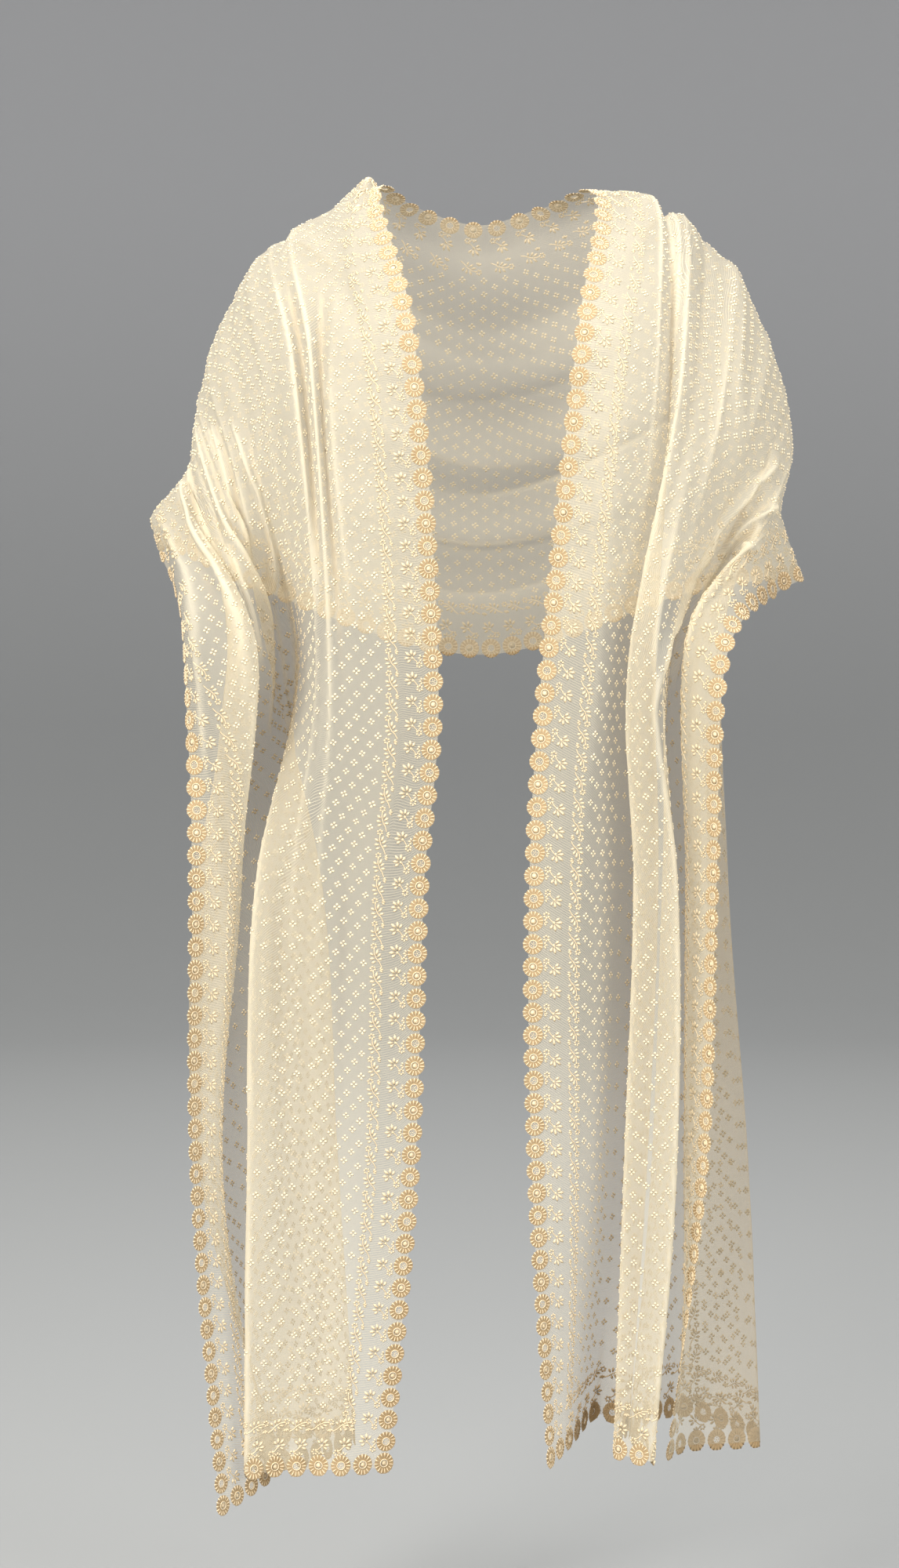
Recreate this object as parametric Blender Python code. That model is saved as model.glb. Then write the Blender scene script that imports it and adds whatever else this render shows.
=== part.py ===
"""A lace shawl in the shape it takes when worn: a long rectangle of cotton net with a scalloped border.

It goes round the back of the neck and down both fronts, covers the shoulders and upper arms like a cape, is
gathered in the crook of each elbow, and hangs from there in deep upright folds to its two hems.
Metres, +Z up, the wearer faces -Y. The origin is between the two shoulder tops that hold it up.
"""

import math
from collections import namedtuple

import bpy
import numpy as np

# Cloth and edging
WALL = 0.0012
SEAM_GAP = 0.0003
CLOTH_WIDTH = 0.72
BORDER = 0.065
SCALLOP_PITCH = 0.0225
SCALLOP_DEPTH = 0.0065
SCALLOP_STEPS = 3

NET_COLOUR = (0.80, 0.72, 0.56)
LACE_COLOUR = (0.86, 0.76, 0.58)
ROUGHNESS = 0.85

# How crisp the folds are across the cloth, and how fine the solids are
FOLD_TENSION = 0.62
NET_COLUMNS = 25
BACK_CELL = 0.036
SHOULDER_CELL = 0.027
FRONT_CELL = 0.044
FALL_CELL = 0.075
TANGENT_STEP = 0.0015
MITRE_LIMIT = 3.5

# Soft swags that hang between the shoulders at the back
SWAG_COUNT = 5
SWAG_HEIGHT = 0.007
SWAG_REACH = 0.85

# One row for each fold line that crosses a section. across is the distance over the flat cloth from the neck
# edge; x, y and z are where that line passes on the worn shawl.
Fold = namedtuple("Fold", "across x y z")

BACK_CENTRE = (
    Fold(0.000, 0.0, 0.085, -0.015),
    Fold(0.065, 0.0, 0.102, -0.050),
    Fold(0.180, 0.0, 0.122, -0.125),
    Fold(0.300, 0.0, 0.133, -0.205),
    Fold(0.420, 0.0, 0.137, -0.280),
    Fold(0.550, 0.0, 0.134, -0.350),
    Fold(0.655, 0.0, 0.130, -0.410),
    Fold(0.720, 0.0, 0.128, -0.468),
)

# Halfway from the spine to the arm, for the wearer's left (+X); the other side mirrors it
BACK_HALF = (
    Fold(0.000, 0.062, 0.070, 0.000),
    Fold(0.065, 0.082, 0.090, -0.022),
    Fold(0.180, 0.125, 0.110, -0.082),
    Fold(0.300, 0.165, 0.119, -0.148),
    Fold(0.420, 0.192, 0.123, -0.212),
    Fold(0.550, 0.212, 0.122, -0.285),
    Fold(0.655, 0.222, 0.120, -0.345),
    Fold(0.720, 0.222, 0.118, -0.402),
)

# The side at -X, from over the shoulder to the hem
RIGHT_SHOULDER = (
    Fold(0.000, -0.100, 0.008, 0.010),
    Fold(0.065, -0.110, 0.026, 0.012),
    Fold(0.100, -0.118, 0.042, 0.024),
    Fold(0.125, -0.152, 0.022, -0.009),
    Fold(0.150, -0.190, 0.022, -0.028),
    Fold(0.170, -0.198, 0.004, -0.042),
    Fold(0.190, -0.210, 0.020, -0.044),
    Fold(0.250, -0.240, 0.020, -0.078),
    Fold(0.320, -0.266, 0.020, -0.130),
    Fold(0.400, -0.283, 0.018, -0.192),
    Fold(0.460, -0.289, 0.016, -0.228),
    Fold(0.535, -0.290, 0.012, -0.260),
    Fold(0.630, -0.305, 0.010, -0.288),
    Fold(0.675, -0.328, 0.004, -0.318),
    Fold(0.720, -0.318, -0.004, -0.354),
)

RIGHT_CHEST = (
    Fold(0.000, -0.065, -0.122, -0.119),
    Fold(0.065, -0.122, -0.128, -0.138),
    Fold(0.100, -0.147, -0.124, -0.148),
    Fold(0.125, -0.158, -0.108, -0.152),
    Fold(0.150, -0.169, -0.121, -0.155),
    Fold(0.170, -0.177, -0.102, -0.162),
    Fold(0.190, -0.186, -0.115, -0.166),
    Fold(0.250, -0.214, -0.090, -0.205),
    Fold(0.320, -0.234, -0.086, -0.258),
    Fold(0.400, -0.250, -0.072, -0.290),
    Fold(0.460, -0.263, -0.080, -0.318),
    Fold(0.535, -0.282, -0.054, -0.318),
    Fold(0.630, -0.292, -0.070, -0.330),
    Fold(0.675, -0.313, -0.052, -0.350),
    Fold(0.720, -0.308, -0.046, -0.392),
)

RIGHT_ELBOW = (
    Fold(0.000, -0.037, -0.130, -0.468),
    Fold(0.065, -0.098, -0.142, -0.468),
    Fold(0.100, -0.125, -0.143, -0.468),
    Fold(0.125, -0.138, -0.140, -0.467),
    Fold(0.150, -0.149, -0.142, -0.466),
    Fold(0.170, -0.156, -0.138, -0.465),
    Fold(0.190, -0.162, -0.128, -0.464),
    Fold(0.250, -0.180, -0.074, -0.458),
    Fold(0.320, -0.186, -0.018, -0.452),
    Fold(0.400, -0.216, -0.036, -0.448),
    Fold(0.460, -0.218, -0.094, -0.446),
    Fold(0.535, -0.252, -0.098, -0.440),
    Fold(0.630, -0.226, -0.142, -0.442),
    Fold(0.675, -0.286, -0.136, -0.440),
    Fold(0.720, -0.296, -0.092, -0.450),
)

RIGHT_HIP = (
    Fold(0.000, -0.050, -0.125, -0.678),
    Fold(0.065, -0.112, -0.137, -0.678),
    Fold(0.100, -0.135, -0.130, -0.678),
    Fold(0.125, -0.147, -0.131, -0.678),
    Fold(0.150, -0.160, -0.133, -0.678),
    Fold(0.170, -0.172, -0.131, -0.678),
    Fold(0.190, -0.186, -0.130, -0.678),
    Fold(0.250, -0.222, -0.127, -0.678),
    Fold(0.320, -0.204, -0.046, -0.678),
    Fold(0.400, -0.165, 0.026, -0.678),
    Fold(0.460, -0.214, 0.040, -0.678),
    Fold(0.520, -0.258, 0.002, -0.678),
    Fold(0.575, -0.285, -0.050, -0.678),
    Fold(0.630, -0.238, -0.100, -0.678),
    Fold(0.720, -0.290, -0.142, -0.678),
)

RIGHT_KNEE = (
    Fold(0.000, -0.060, -0.112, -0.975),
    Fold(0.065, -0.120, -0.128, -0.975),
    Fold(0.100, -0.142, -0.123, -0.975),
    Fold(0.125, -0.153, -0.122, -0.975),
    Fold(0.150, -0.165, -0.125, -0.975),
    Fold(0.170, -0.175, -0.124, -0.975),
    Fold(0.190, -0.187, -0.127, -0.975),
    Fold(0.250, -0.232, -0.132, -0.975),
    Fold(0.320, -0.195, -0.050, -0.975),
    Fold(0.400, -0.147, 0.034, -0.975),
    Fold(0.460, -0.202, 0.046, -0.975),
    Fold(0.520, -0.250, 0.010, -0.975),
    Fold(0.575, -0.286, -0.052, -0.975),
    Fold(0.630, -0.258, -0.108, -0.975),
    Fold(0.720, -0.288, -0.156, -0.975),
)

RIGHT_HEM = (
    Fold(0.000, -0.088, -0.100, -1.280),
    Fold(0.065, -0.143, -0.119, -1.279),
    Fold(0.100, -0.162, -0.117, -1.279),
    Fold(0.125, -0.172, -0.116, -1.279),
    Fold(0.150, -0.182, -0.120, -1.279),
    Fold(0.170, -0.190, -0.121, -1.279),
    Fold(0.190, -0.199, -0.124, -1.278),
    Fold(0.250, -0.236, -0.138, -1.278),
    Fold(0.275, -0.224, -0.112, -1.278),
    Fold(0.320, -0.180, -0.094, -1.277),
    Fold(0.400, -0.128, 0.012, -1.277),
    Fold(0.460, -0.180, 0.042, -1.279),
    Fold(0.520, -0.226, 0.002, -1.282),
    Fold(0.575, -0.202, -0.052, -1.288),
    Fold(0.630, -0.212, -0.082, -1.294),
    Fold(0.720, -0.262, -0.150, -1.316),
)

# The side at +X, from over the shoulder to the hem
LEFT_SHOULDER = (
    Fold(0.000, 0.114, 0.000, 0.004),
    Fold(0.065, 0.148, 0.030, 0.008),
    Fold(0.130, 0.176, 0.020, 0.005),
    Fold(0.190, 0.186, -0.002, -0.018),
    Fold(0.250, 0.206, 0.012, -0.014),
    Fold(0.300, 0.226, 0.016, -0.038),
    Fold(0.370, 0.262, 0.020, -0.076),
    Fold(0.420, 0.284, 0.020, -0.128),
    Fold(0.470, 0.302, 0.020, -0.180),
    Fold(0.560, 0.311, 0.014, -0.250),
    Fold(0.630, 0.300, 0.006, -0.310),
    Fold(0.720, 0.325, -0.002, -0.386),
)

LEFT_CHEST = (
    Fold(0.000, 0.094, -0.120, -0.119),
    Fold(0.065, 0.140, -0.128, -0.132),
    Fold(0.130, 0.175, -0.116, -0.148),
    Fold(0.190, 0.189, -0.088, -0.160),
    Fold(0.250, 0.200, -0.108, -0.162),
    Fold(0.300, 0.220, -0.090, -0.182),
    Fold(0.370, 0.250, -0.080, -0.200),
    Fold(0.420, 0.272, -0.064, -0.222),
    Fold(0.470, 0.290, -0.048, -0.248),
    Fold(0.560, 0.301, -0.040, -0.294),
    Fold(0.630, 0.288, -0.050, -0.338),
    Fold(0.720, 0.300, -0.042, -0.400),
)

LEFT_ELBOW = (
    Fold(0.000, 0.055, -0.130, -0.468),
    Fold(0.065, 0.115, -0.138, -0.468),
    Fold(0.130, 0.146, -0.098, -0.468),
    Fold(0.190, 0.176, -0.070, -0.466),
    Fold(0.250, 0.146, -0.138, -0.462),
    Fold(0.300, 0.171, -0.154, -0.458),
    Fold(0.370, 0.190, -0.094, -0.450),
    Fold(0.420, 0.196, -0.050, -0.442),
    Fold(0.470, 0.220, -0.030, -0.436),
    Fold(0.560, 0.244, -0.070, -0.430),
    Fold(0.630, 0.204, -0.122, -0.432),
    Fold(0.720, 0.246, -0.142, -0.460),
)

LEFT_HIP = (
    Fold(0.000, 0.042, -0.140, -0.678),
    Fold(0.065, 0.100, -0.136, -0.678),
    Fold(0.130, 0.148, -0.078, -0.678),
    Fold(0.190, 0.180, -0.054, -0.678),
    Fold(0.250, 0.152, -0.130, -0.678),
    Fold(0.300, 0.193, -0.142, -0.678),
    Fold(0.370, 0.182, -0.084, -0.678),
    Fold(0.420, 0.192, -0.030, -0.678),
    Fold(0.470, 0.216, 0.002, -0.678),
    Fold(0.560, 0.250, -0.050, -0.678),
    Fold(0.630, 0.205, -0.094, -0.678),
    Fold(0.720, 0.236, -0.142, -0.678),
)

LEFT_KNEE = (
    Fold(0.000, 0.045, -0.145, -0.975),
    Fold(0.065, 0.096, -0.124, -0.975),
    Fold(0.130, 0.136, -0.068, -0.975),
    Fold(0.190, 0.170, -0.044, -0.975),
    Fold(0.250, 0.143, -0.128, -0.975),
    Fold(0.300, 0.193, -0.142, -0.975),
    Fold(0.370, 0.172, -0.080, -0.975),
    Fold(0.420, 0.184, -0.026, -0.975),
    Fold(0.470, 0.214, 0.012, -0.975),
    Fold(0.560, 0.272, -0.050, -0.975),
    Fold(0.630, 0.206, -0.090, -0.975),
    Fold(0.720, 0.226, -0.136, -0.975),
)

LEFT_HEM = (
    Fold(0.000, 0.066, -0.140, -1.270),
    Fold(0.065, 0.092, -0.084, -1.257),
    Fold(0.130, 0.118, -0.024, -1.243),
    Fold(0.190, 0.152, -0.046, -1.250),
    Fold(0.250, 0.133, -0.125, -1.259),
    Fold(0.300, 0.172, -0.142, -1.265),
    Fold(0.370, 0.150, -0.074, -1.251),
    Fold(0.420, 0.174, -0.024, -1.246),
    Fold(0.470, 0.210, 0.022, -1.250),
    Fold(0.560, 0.286, -0.050, -1.265),
    Fold(0.630, 0.212, -0.084, -1.262),
    Fold(0.720, 0.184, -0.124, -1.264),
)

# Places of the sections, counted from the spine, and where the net is parted between them
SHOULDER = 2
CHEST = 3
ELBOW = 4
HIP = 5
SHOULDER_CUT = 0.35
FRONT_CUT = 0.30
FALL_CUT = 0.90

# How finely a smooth line is sampled, and where folds are shaded as an edge
ACROSS_SAMPLES = 145
LINE_SAMPLES = 600
CREASE_ANGLE = math.radians(50)


def mirrored(section):
    """The same section on the other side of the body."""
    return tuple(Fold(row.across, -row.x, row.y, row.z) for row in section)


RIGHT_SIDE = (RIGHT_SHOULDER, RIGHT_CHEST, RIGHT_ELBOW, RIGHT_HIP, RIGHT_KNEE, RIGHT_HEM)
LEFT_SIDE = (LEFT_SHOULDER, LEFT_CHEST, LEFT_ELBOW, LEFT_HIP, LEFT_KNEE, LEFT_HEM)
SECTIONS = (
    RIGHT_SIDE[::-1] + (mirrored(BACK_HALF), BACK_CENTRE, BACK_HALF) + LEFT_SIDE
)
CENTRE = len(SECTIONS) // 2


def smooth_curve(knots, values, places, tension=1.0):
    """Points of a smooth curve through values at knots, read at places; a lower tension folds more crisply."""
    knots = np.asarray(knots, float)
    values = np.asarray(values, float)
    slopes = np.empty_like(values)
    steps = np.diff(knots)
    wide = steps.reshape((-1,) + (1,) * (values.ndim - 1))
    secants = np.diff(values, axis=0) / wide
    before, after = wide[:-1], wide[1:]
    slopes[1:-1] = (secants[:-1] * after + secants[1:] * before) / (before + after) * tension
    slopes[0] = secants[0]
    slopes[-1] = secants[-1]
    where = np.clip(np.searchsorted(knots, places, side="right") - 1, 0, len(knots) - 2)
    span = steps[where]
    u = (np.asarray(places) - knots[where]) / span
    shape = (-1,) + (1,) * (values.ndim - 1)
    u, span = u.reshape(shape), span.reshape(shape)
    start, end = values[where], values[where + 1]
    rise, fall = slopes[where] * span, slopes[where + 1] * span
    return (
        start * (2 * u**3 - 3 * u**2 + 1)
        + rise * (u**3 - 2 * u**2 + u)
        + end * (3 * u**2 - 2 * u**3)
        + fall * (u**3 - u**2)
    )


def unit(vectors):
    """The same vectors with a length of one."""
    return vectors / np.linalg.norm(vectors, axis=-1, keepdims=True)


class Drape:
    """The middle surface of the worn cloth, over the distance along it and the distance across it."""

    def __init__(self):
        self.across = np.linspace(0.0, CLOTH_WIDTH, ACROSS_SAMPLES)
        rows = []
        for section in SECTIONS:
            knots = [fold.across for fold in section]
            points = [fold[1:] for fold in section]
            rows.append(smooth_curve(knots, points, self.across, FOLD_TENSION))
        self.rows = np.array(rows)
        gaps = np.linalg.norm(np.diff(self.rows, axis=0), axis=2).mean(axis=1)
        half = np.cumsum((gaps[CENTRE:] + gaps[CENTRE - 1::-1]) / 2)
        self.along = np.concatenate((-half[::-1], [0.0], half))

    def points(self, along, across):
        """Points of a grid, one row for each place along the cloth and one column for each place across it."""
        lines = smooth_curve(self.along, self.rows, np.asarray(along, float))
        grid = np.empty((len(along), len(across), 3))
        for index, line in enumerate(lines):
            grid[index] = smooth_curve(self.across, line, np.asarray(across, float))
        grid[..., 1] += self.swag(np.asarray(along, float)[:, None], np.asarray(across, float)[None, :])
        return grid

    def swag(self, along, across):
        """How far the soft swags push the back outwards."""
        reach = self.along[CENTRE + SHOULDER] * SWAG_REACH
        fade = np.clip(1.0 - (along / reach) ** 2, 0.0, 1.0) ** 2
        wave = np.sin(2 * math.pi * SWAG_COUNT * across / CLOTH_WIDTH)
        return SWAG_HEIGHT * fade * wave * np.sqrt(np.clip(np.sin(math.pi * across / CLOTH_WIDTH), 0.0, 1.0))

    def tangents(self, along, across):
        """Unit directions along and across the cloth at the same grid."""
        along = np.asarray(along, float)
        across = np.asarray(across, float)
        low, high = self.along[0], self.along[-1]
        up = self.points(np.minimum(along + TANGENT_STEP, high), across)
        down = self.points(np.maximum(along - TANGENT_STEP, low), across)
        out = self.points(along, np.minimum(across + TANGENT_STEP, CLOTH_WIDTH))
        back = self.points(along, np.maximum(across - TANGENT_STEP, 0.0))
        return np.stack((unit(up - down), unit(out - back)))


def wall_faces(corners, outer, inner):
    """Triangles of a closed wall over a grid, split the same way on both of its faces.

    The narrow faces round the rim take their shorter diagonal, so two rims at a seam are split alike.
    """
    faces = []
    rows, columns = corners.shape[:2]
    count = rows * columns

    def near(i, j):
        return i * columns + j

    def far(i, j):
        return count + i * columns + j

    for i in range(rows - 1):
        for j in range(columns - 1):
            a, b, c, d = (i, j), (i + 1, j), (i + 1, j + 1), (i, j + 1)
            first = np.linalg.norm(corners[a] - corners[c])
            second = np.linalg.norm(corners[b] - corners[d])
            halves = ((a, b, c), (a, c, d)) if first <= second else ((a, b, d), (b, c, d))
            for p, q, r in halves:
                faces.append((near(*p), near(*q), near(*r)))
                faces.append((far(*r), far(*q), far(*p)))
    rim = [(0, j) for j in range(columns)]
    rim += [(i, columns - 1) for i in range(1, rows)]
    rim += [(rows - 1, j) for j in range(columns - 2, -1, -1)]
    rim += [(i, 0) for i in range(rows - 2, 0, -1)]
    for p, q in zip(rim, rim[1:] + rim[:1]):
        one_way = np.linalg.norm(outer[p] - inner[q])
        other_way = np.linalg.norm(outer[q] - inner[p])
        if one_way <= other_way:
            faces.append((near(*p), near(*q), far(*q)))
            faces.append((near(*p), far(*q), far(*p)))
        else:
            faces.append((near(*p), near(*q), far(*p)))
            faces.append((near(*q), far(*q), far(*p)))
    return faces


def wall_offsets(points, tangents):
    """Offsets from the middle of the wall to its outer face, mitred so that folds keep the wall's thickness."""
    ways = tangents.copy()
    factor = np.ones(points.shape[:2] + (1,))
    for axis in (0, 1):
        if points.shape[axis] < 3:
            continue
        steps = unit(np.diff(points, axis=axis))
        first, second = (steps[:-1], steps[1:]) if axis == 0 else (steps[:, :-1], steps[:, 1:])
        inside = (slice(1, -1), slice(None)) if axis == 0 else (slice(None), slice(1, -1))
        ways[axis][inside] = unit(first + second)
        turn = np.clip((first * second).sum(axis=2, keepdims=True), -1.0, 1.0)
        factor[inside] *= 1.0 / np.sqrt((1.0 + turn) / 2 + 1e-6)
    return unit(np.cross(ways[0], ways[1])) * np.minimum(factor, MITRE_LIMIT) * (WALL / 2)


def make_wall(name, points, tangents, material):
    """A closed wall of the cloth's thickness on both sides of a grid of points."""
    half = wall_offsets(points, tangents)
    outer = points + half
    inner = points - half
    corners = np.concatenate((outer.reshape(-1, 3), inner.reshape(-1, 3)))
    mesh = bpy.data.meshes.new(name)
    mesh.from_pydata(corners.tolist(), [], wall_faces(points, outer, inner))
    mesh.update()
    mesh.materials.append(material)
    mesh.shade_smooth()
    mesh.set_sharp_from_angle(angle=CREASE_ANGLE)
    piece = bpy.data.objects.new(name, mesh)
    bpy.context.scene.collection.objects.link(piece)
    return piece


def make_material(name, colour):
    """Plain matt cotton in one colour."""
    material = bpy.data.materials.new(name)
    material.use_nodes = True
    shader = material.node_tree.nodes["Principled BSDF"]
    shader.inputs["Base Color"].default_value = (*colour, 1.0)
    shader.inputs["Roughness"].default_value = ROUGHNESS
    shader.inputs["Metallic"].default_value = 0.0
    return material


def pulled(points, gap, first=False, last=False):
    """The same grid with its first or last row drawn back by a gap, for a seam."""
    points = points.copy()
    if first:
        step = points[1] - points[0]
        points[0] += step / np.linalg.norm(step, axis=1, keepdims=True) * gap
    if last:
        step = points[-2] - points[-1]
        points[-1] += step / np.linalg.norm(step, axis=1, keepdims=True) * gap
    return points


def snapped(places, knots):
    """The same places, with the one nearest to each knot moved onto it, so that seams share their corners."""
    places = places.copy()
    for knot in knots:
        if places[0] + SEAM_GAP < knot < places[-1] - SEAM_GAP:
            nearest = 1 + np.argmin(abs(places[1:-1] - knot))
            places[nearest] = knot
    return places


def read_between(knots, points, tangents, places):
    """Points on the straight pieces between knots, and the directions there."""
    def read(values):
        return np.stack([np.interp(places, knots, values[:, axis]) for axis in range(3)], axis=1)

    return read(points), np.stack((unit(read(tangents[0])), unit(read(tangents[1]))))


def scallop_steps(line, places):
    """Places at even steps of real length, SCALLOP_STEPS for each scallop, and which of them are valleys."""
    length = np.concatenate(([0.0], np.cumsum(np.linalg.norm(np.diff(line, axis=0), axis=1))))
    scallops = max(1, round(length[-1] / SCALLOP_PITCH))
    steps = np.linspace(0.0, length[-1], scallops * SCALLOP_STEPS + 1)
    return np.interp(steps, length, places), np.arange(len(steps)) % SCALLOP_STEPS == 0


def side_columns(section):
    """Places across the net where its grid has a column: each fold, each midpoint, and the widest gaps again."""
    inner = [fold.across for fold in section if BORDER < fold.across < CLOTH_WIDTH - BORDER]
    places = [BORDER] + inner + [CLOTH_WIDTH - BORDER]
    while len(places) < NET_COLUMNS:
        widest = max(range(len(places) - 1), key=lambda k: places[k + 1] - places[k])
        places.insert(widest + 1, (places[widest] + places[widest + 1]) / 2)
    return np.array(places)


class Shawl:
    """The net panels and scalloped borders, cut from one drape."""

    def __init__(self):
        self.drape = Drape()
        self.net = make_material("cream_net", NET_COLOUR)
        self.lace = make_material("ecru_lace", LACE_COLOUR)
        self.pieces = []
        self.cuts = {
            "shoulder": self.between(SHOULDER - 1, SHOULDER_CUT),
            "front": self.between(CHEST, FRONT_CUT),
            "fall": self.between(ELBOW, FALL_CUT),
            "hem": self.drape.along[-1] - BORDER,
        }
        self.columns = {-1: side_columns(RIGHT_HIP), 1: side_columns(LEFT_HIP)}
        half = [0.0]
        for start, end, cell in self.stretches():
            count = max(2, round((end - start) / cell))
            half += list(np.linspace(start, end, count + 1)[1:])
        self.rows = np.array([-place for place in half[:0:-1]] + half)

    def between(self, section, share):
        """A place along the cloth, as a share of the way from one section to the next."""
        start, end = self.drape.along[CENTRE + section:CENTRE + section + 2]
        return start + (end - start) * share

    def stretches(self):
        """Each stretch of the net from the spine to one hem, with the length of its grid's cells."""
        cuts = self.cuts
        return (
            (0.0, cuts["shoulder"], BACK_CELL),
            (cuts["shoulder"], cuts["front"], SHOULDER_CELL),
            (cuts["front"], cuts["fall"], FRONT_CELL),
            (cuts["fall"], cuts["hem"], FALL_CELL),
        )

    def columns_at(self, along):
        """Columns change smoothly from one side's folds to the other's over the back."""
        reach = self.cuts["shoulder"]
        share = min(max((along + reach) / (2 * reach), 0.0), 1.0)
        return self.columns[-1] * (1 - share) + self.columns[1] * share

    def grid(self, rows):
        """Points and directions of the net's grid on the given rows."""
        points = [self.drape.points([row], self.columns_at(row))[0] for row in rows]
        tangents = [self.drape.tangents([row], self.columns_at(row))[:, 0] for row in rows]
        return np.array(points), np.stack(tangents, axis=1)

    def on_seam(self, across, places):
        """Points and directions on the straight pieces of a long seam, between the net's own rows."""
        points = self.drape.points(self.rows, [across])[:, 0]
        tangents = self.drape.tangents(self.rows, [across])[:, :, 0]
        return read_between(self.rows, points, tangents, places)

    def edge_places(self, edge, start, end):
        """Places along a long edge, with SCALLOP_STEPS for each scallop, and which of them are valleys."""
        fine = np.linspace(start, end, LINE_SAMPLES)
        steps, valley = scallop_steps(self.drape.points(fine, [edge])[:, 0], fine)
        return snapped(steps, self.rows), valley

    def edge_rows(self, edge, seam, places, valley):
        """Points and directions of a border strip: its outer row, then its inner row."""
        outer = self.drape.points(places, [edge])[:, 0]
        inner, inner_ways = self.on_seam(seam, places)
        way = unit(inner - outer)
        outer = outer + way * (SCALLOP_DEPTH * valley)[:, None]
        inner = inner - way * SEAM_GAP
        return (outer, self.drape.tangents(places, [edge])[:, :, 0]), (inner, inner_ways)

    def add_net(self, name, start, end):
        """One stretch of the net ground."""
        rows = self.rows[(self.rows > start - SEAM_GAP) & (self.rows < end + SEAM_GAP)]
        points, tangents = self.grid(rows)
        points = pulled(points, SEAM_GAP / 2, first=True, last=True)
        self.pieces.append(make_wall(name, points, tangents, self.net))

    def add_edge(self, name, edge, seam, start, end):
        """One stretch of a long scalloped border."""
        places, valley = self.edge_places(edge, start, end)
        outer, inner = self.edge_rows(edge, seam, places, valley)
        first, second = (outer, inner) if edge < seam else (inner, outer)
        points = pulled(np.stack((first[0], second[0]), axis=1), SEAM_GAP / 2, first=True, last=True)
        self.pieces.append(make_wall(name, points, np.stack((first[1], second[1]), axis=2), self.lace))

    def add_hem(self, name, side):
        """The end border of one side, which turns both corners."""
        top = self.cuts["hem"] * side
        bottom = self.drape.along[-1] * side
        fine = np.linspace(0.0, CLOTH_WIDTH, LINE_SAMPLES)
        steps, valley = scallop_steps(self.drape.points([bottom], fine)[0], fine)
        places = snapped(steps, self.columns_at(top))
        low = self.drape.points([bottom], places)[0]
        high, high_ways = self.hem_seam(top, places)
        low = low + unit(high - low) * (SCALLOP_DEPTH * valley)[:, None]
        edge = (low, self.drape.tangents([bottom], places)[:, 0])
        first, second = (edge, (high, high_ways)) if side < 0 else ((high, high_ways), edge)
        points = pulled(np.stack((first[0], second[0])), SEAM_GAP / 2, first=side > 0, last=side < 0)
        self.pieces.append(make_wall(name, points, np.stack((first[1], second[1]), axis=1), self.lace))

    def hem_seam(self, top, places):
        """Points and directions above the hem: the net's last row with the ends of both long borders."""
        net, net_ways = self.grid([top])
        valley = np.array([True])
        neck = self.edge_rows(0.0, BORDER, np.array([top]), valley)[0]
        outer = self.edge_rows(CLOTH_WIDTH, CLOTH_WIDTH - BORDER, np.array([top]), valley)[0]
        knots = np.concatenate(([0.0], self.columns_at(top), [CLOTH_WIDTH]))
        points = np.vstack((neck[0], net[0], outer[0]))
        tangents = np.concatenate((neck[1], net_ways[:, 0], outer[1]), axis=1)
        return read_between(knots, points, tangents, places)

    def build(self):
        """Every piece of the shawl, all hanging from one empty."""
        cuts = self.cuts
        self.add_net("net_back", -cuts["shoulder"], cuts["shoulder"])
        edges = (("neck_edge", 0.0, BORDER), ("outer_edge", CLOTH_WIDTH, CLOTH_WIDTH - BORDER))
        for title, edge, seam in edges:
            self.add_edge(f"{title}_back", edge, seam, -cuts["shoulder"], cuts["shoulder"])
        for side, hand in ((-1, "right"), (1, "left")):
            for title, low, high in (
                ("net_shoulder", "shoulder", "front"),
                ("net_front", "front", "fall"),
                ("net_fall", "fall", "hem"),
            ):
                ends = sorted((cuts[low] * side, cuts[high] * side))
                self.add_net(f"{title}_{hand}", *ends)
            for title, edge, seam in edges:
                for stretch, low, high in (("upper", "shoulder", "fall"), ("lower", "fall", "hem")):
                    ends = sorted((cuts[low] * side, cuts[high] * side))
                    self.add_edge(f"{title}_{hand}_{stretch}", edge, seam, *ends)
            self.add_hem(f"hem_{hand}", side)
        holder = bpy.data.objects.new("lace_shawl", None)
        bpy.context.scene.collection.objects.link(holder)
        for piece in self.pieces:
            piece.parent = holder


def main():
    """Clear the scene and build the shawl."""
    for item in list(bpy.data.objects):
        bpy.data.objects.remove(item, do_unlink=True)
    Shawl().build()


main()
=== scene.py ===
"""A worn lace shawl: one long rectangle of sheer cotton net, sprigged all over, with a scalloped edging.

The cloth is laid out flat first, as it was made. Its sprigs and edging are set out on the flat net and are
then carried onto the shape that the shawl takes when it is worn, so that they keep their size on every fold.
Metres, +Z up, the wearer faces -Y, and the origin is between the two shoulder tops.
"""

from __future__ import annotations

import logging
import math
from collections import namedtuple
from collections.abc import Sequence
from dataclasses import dataclass
from enum import Enum
from typing import Any

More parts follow.
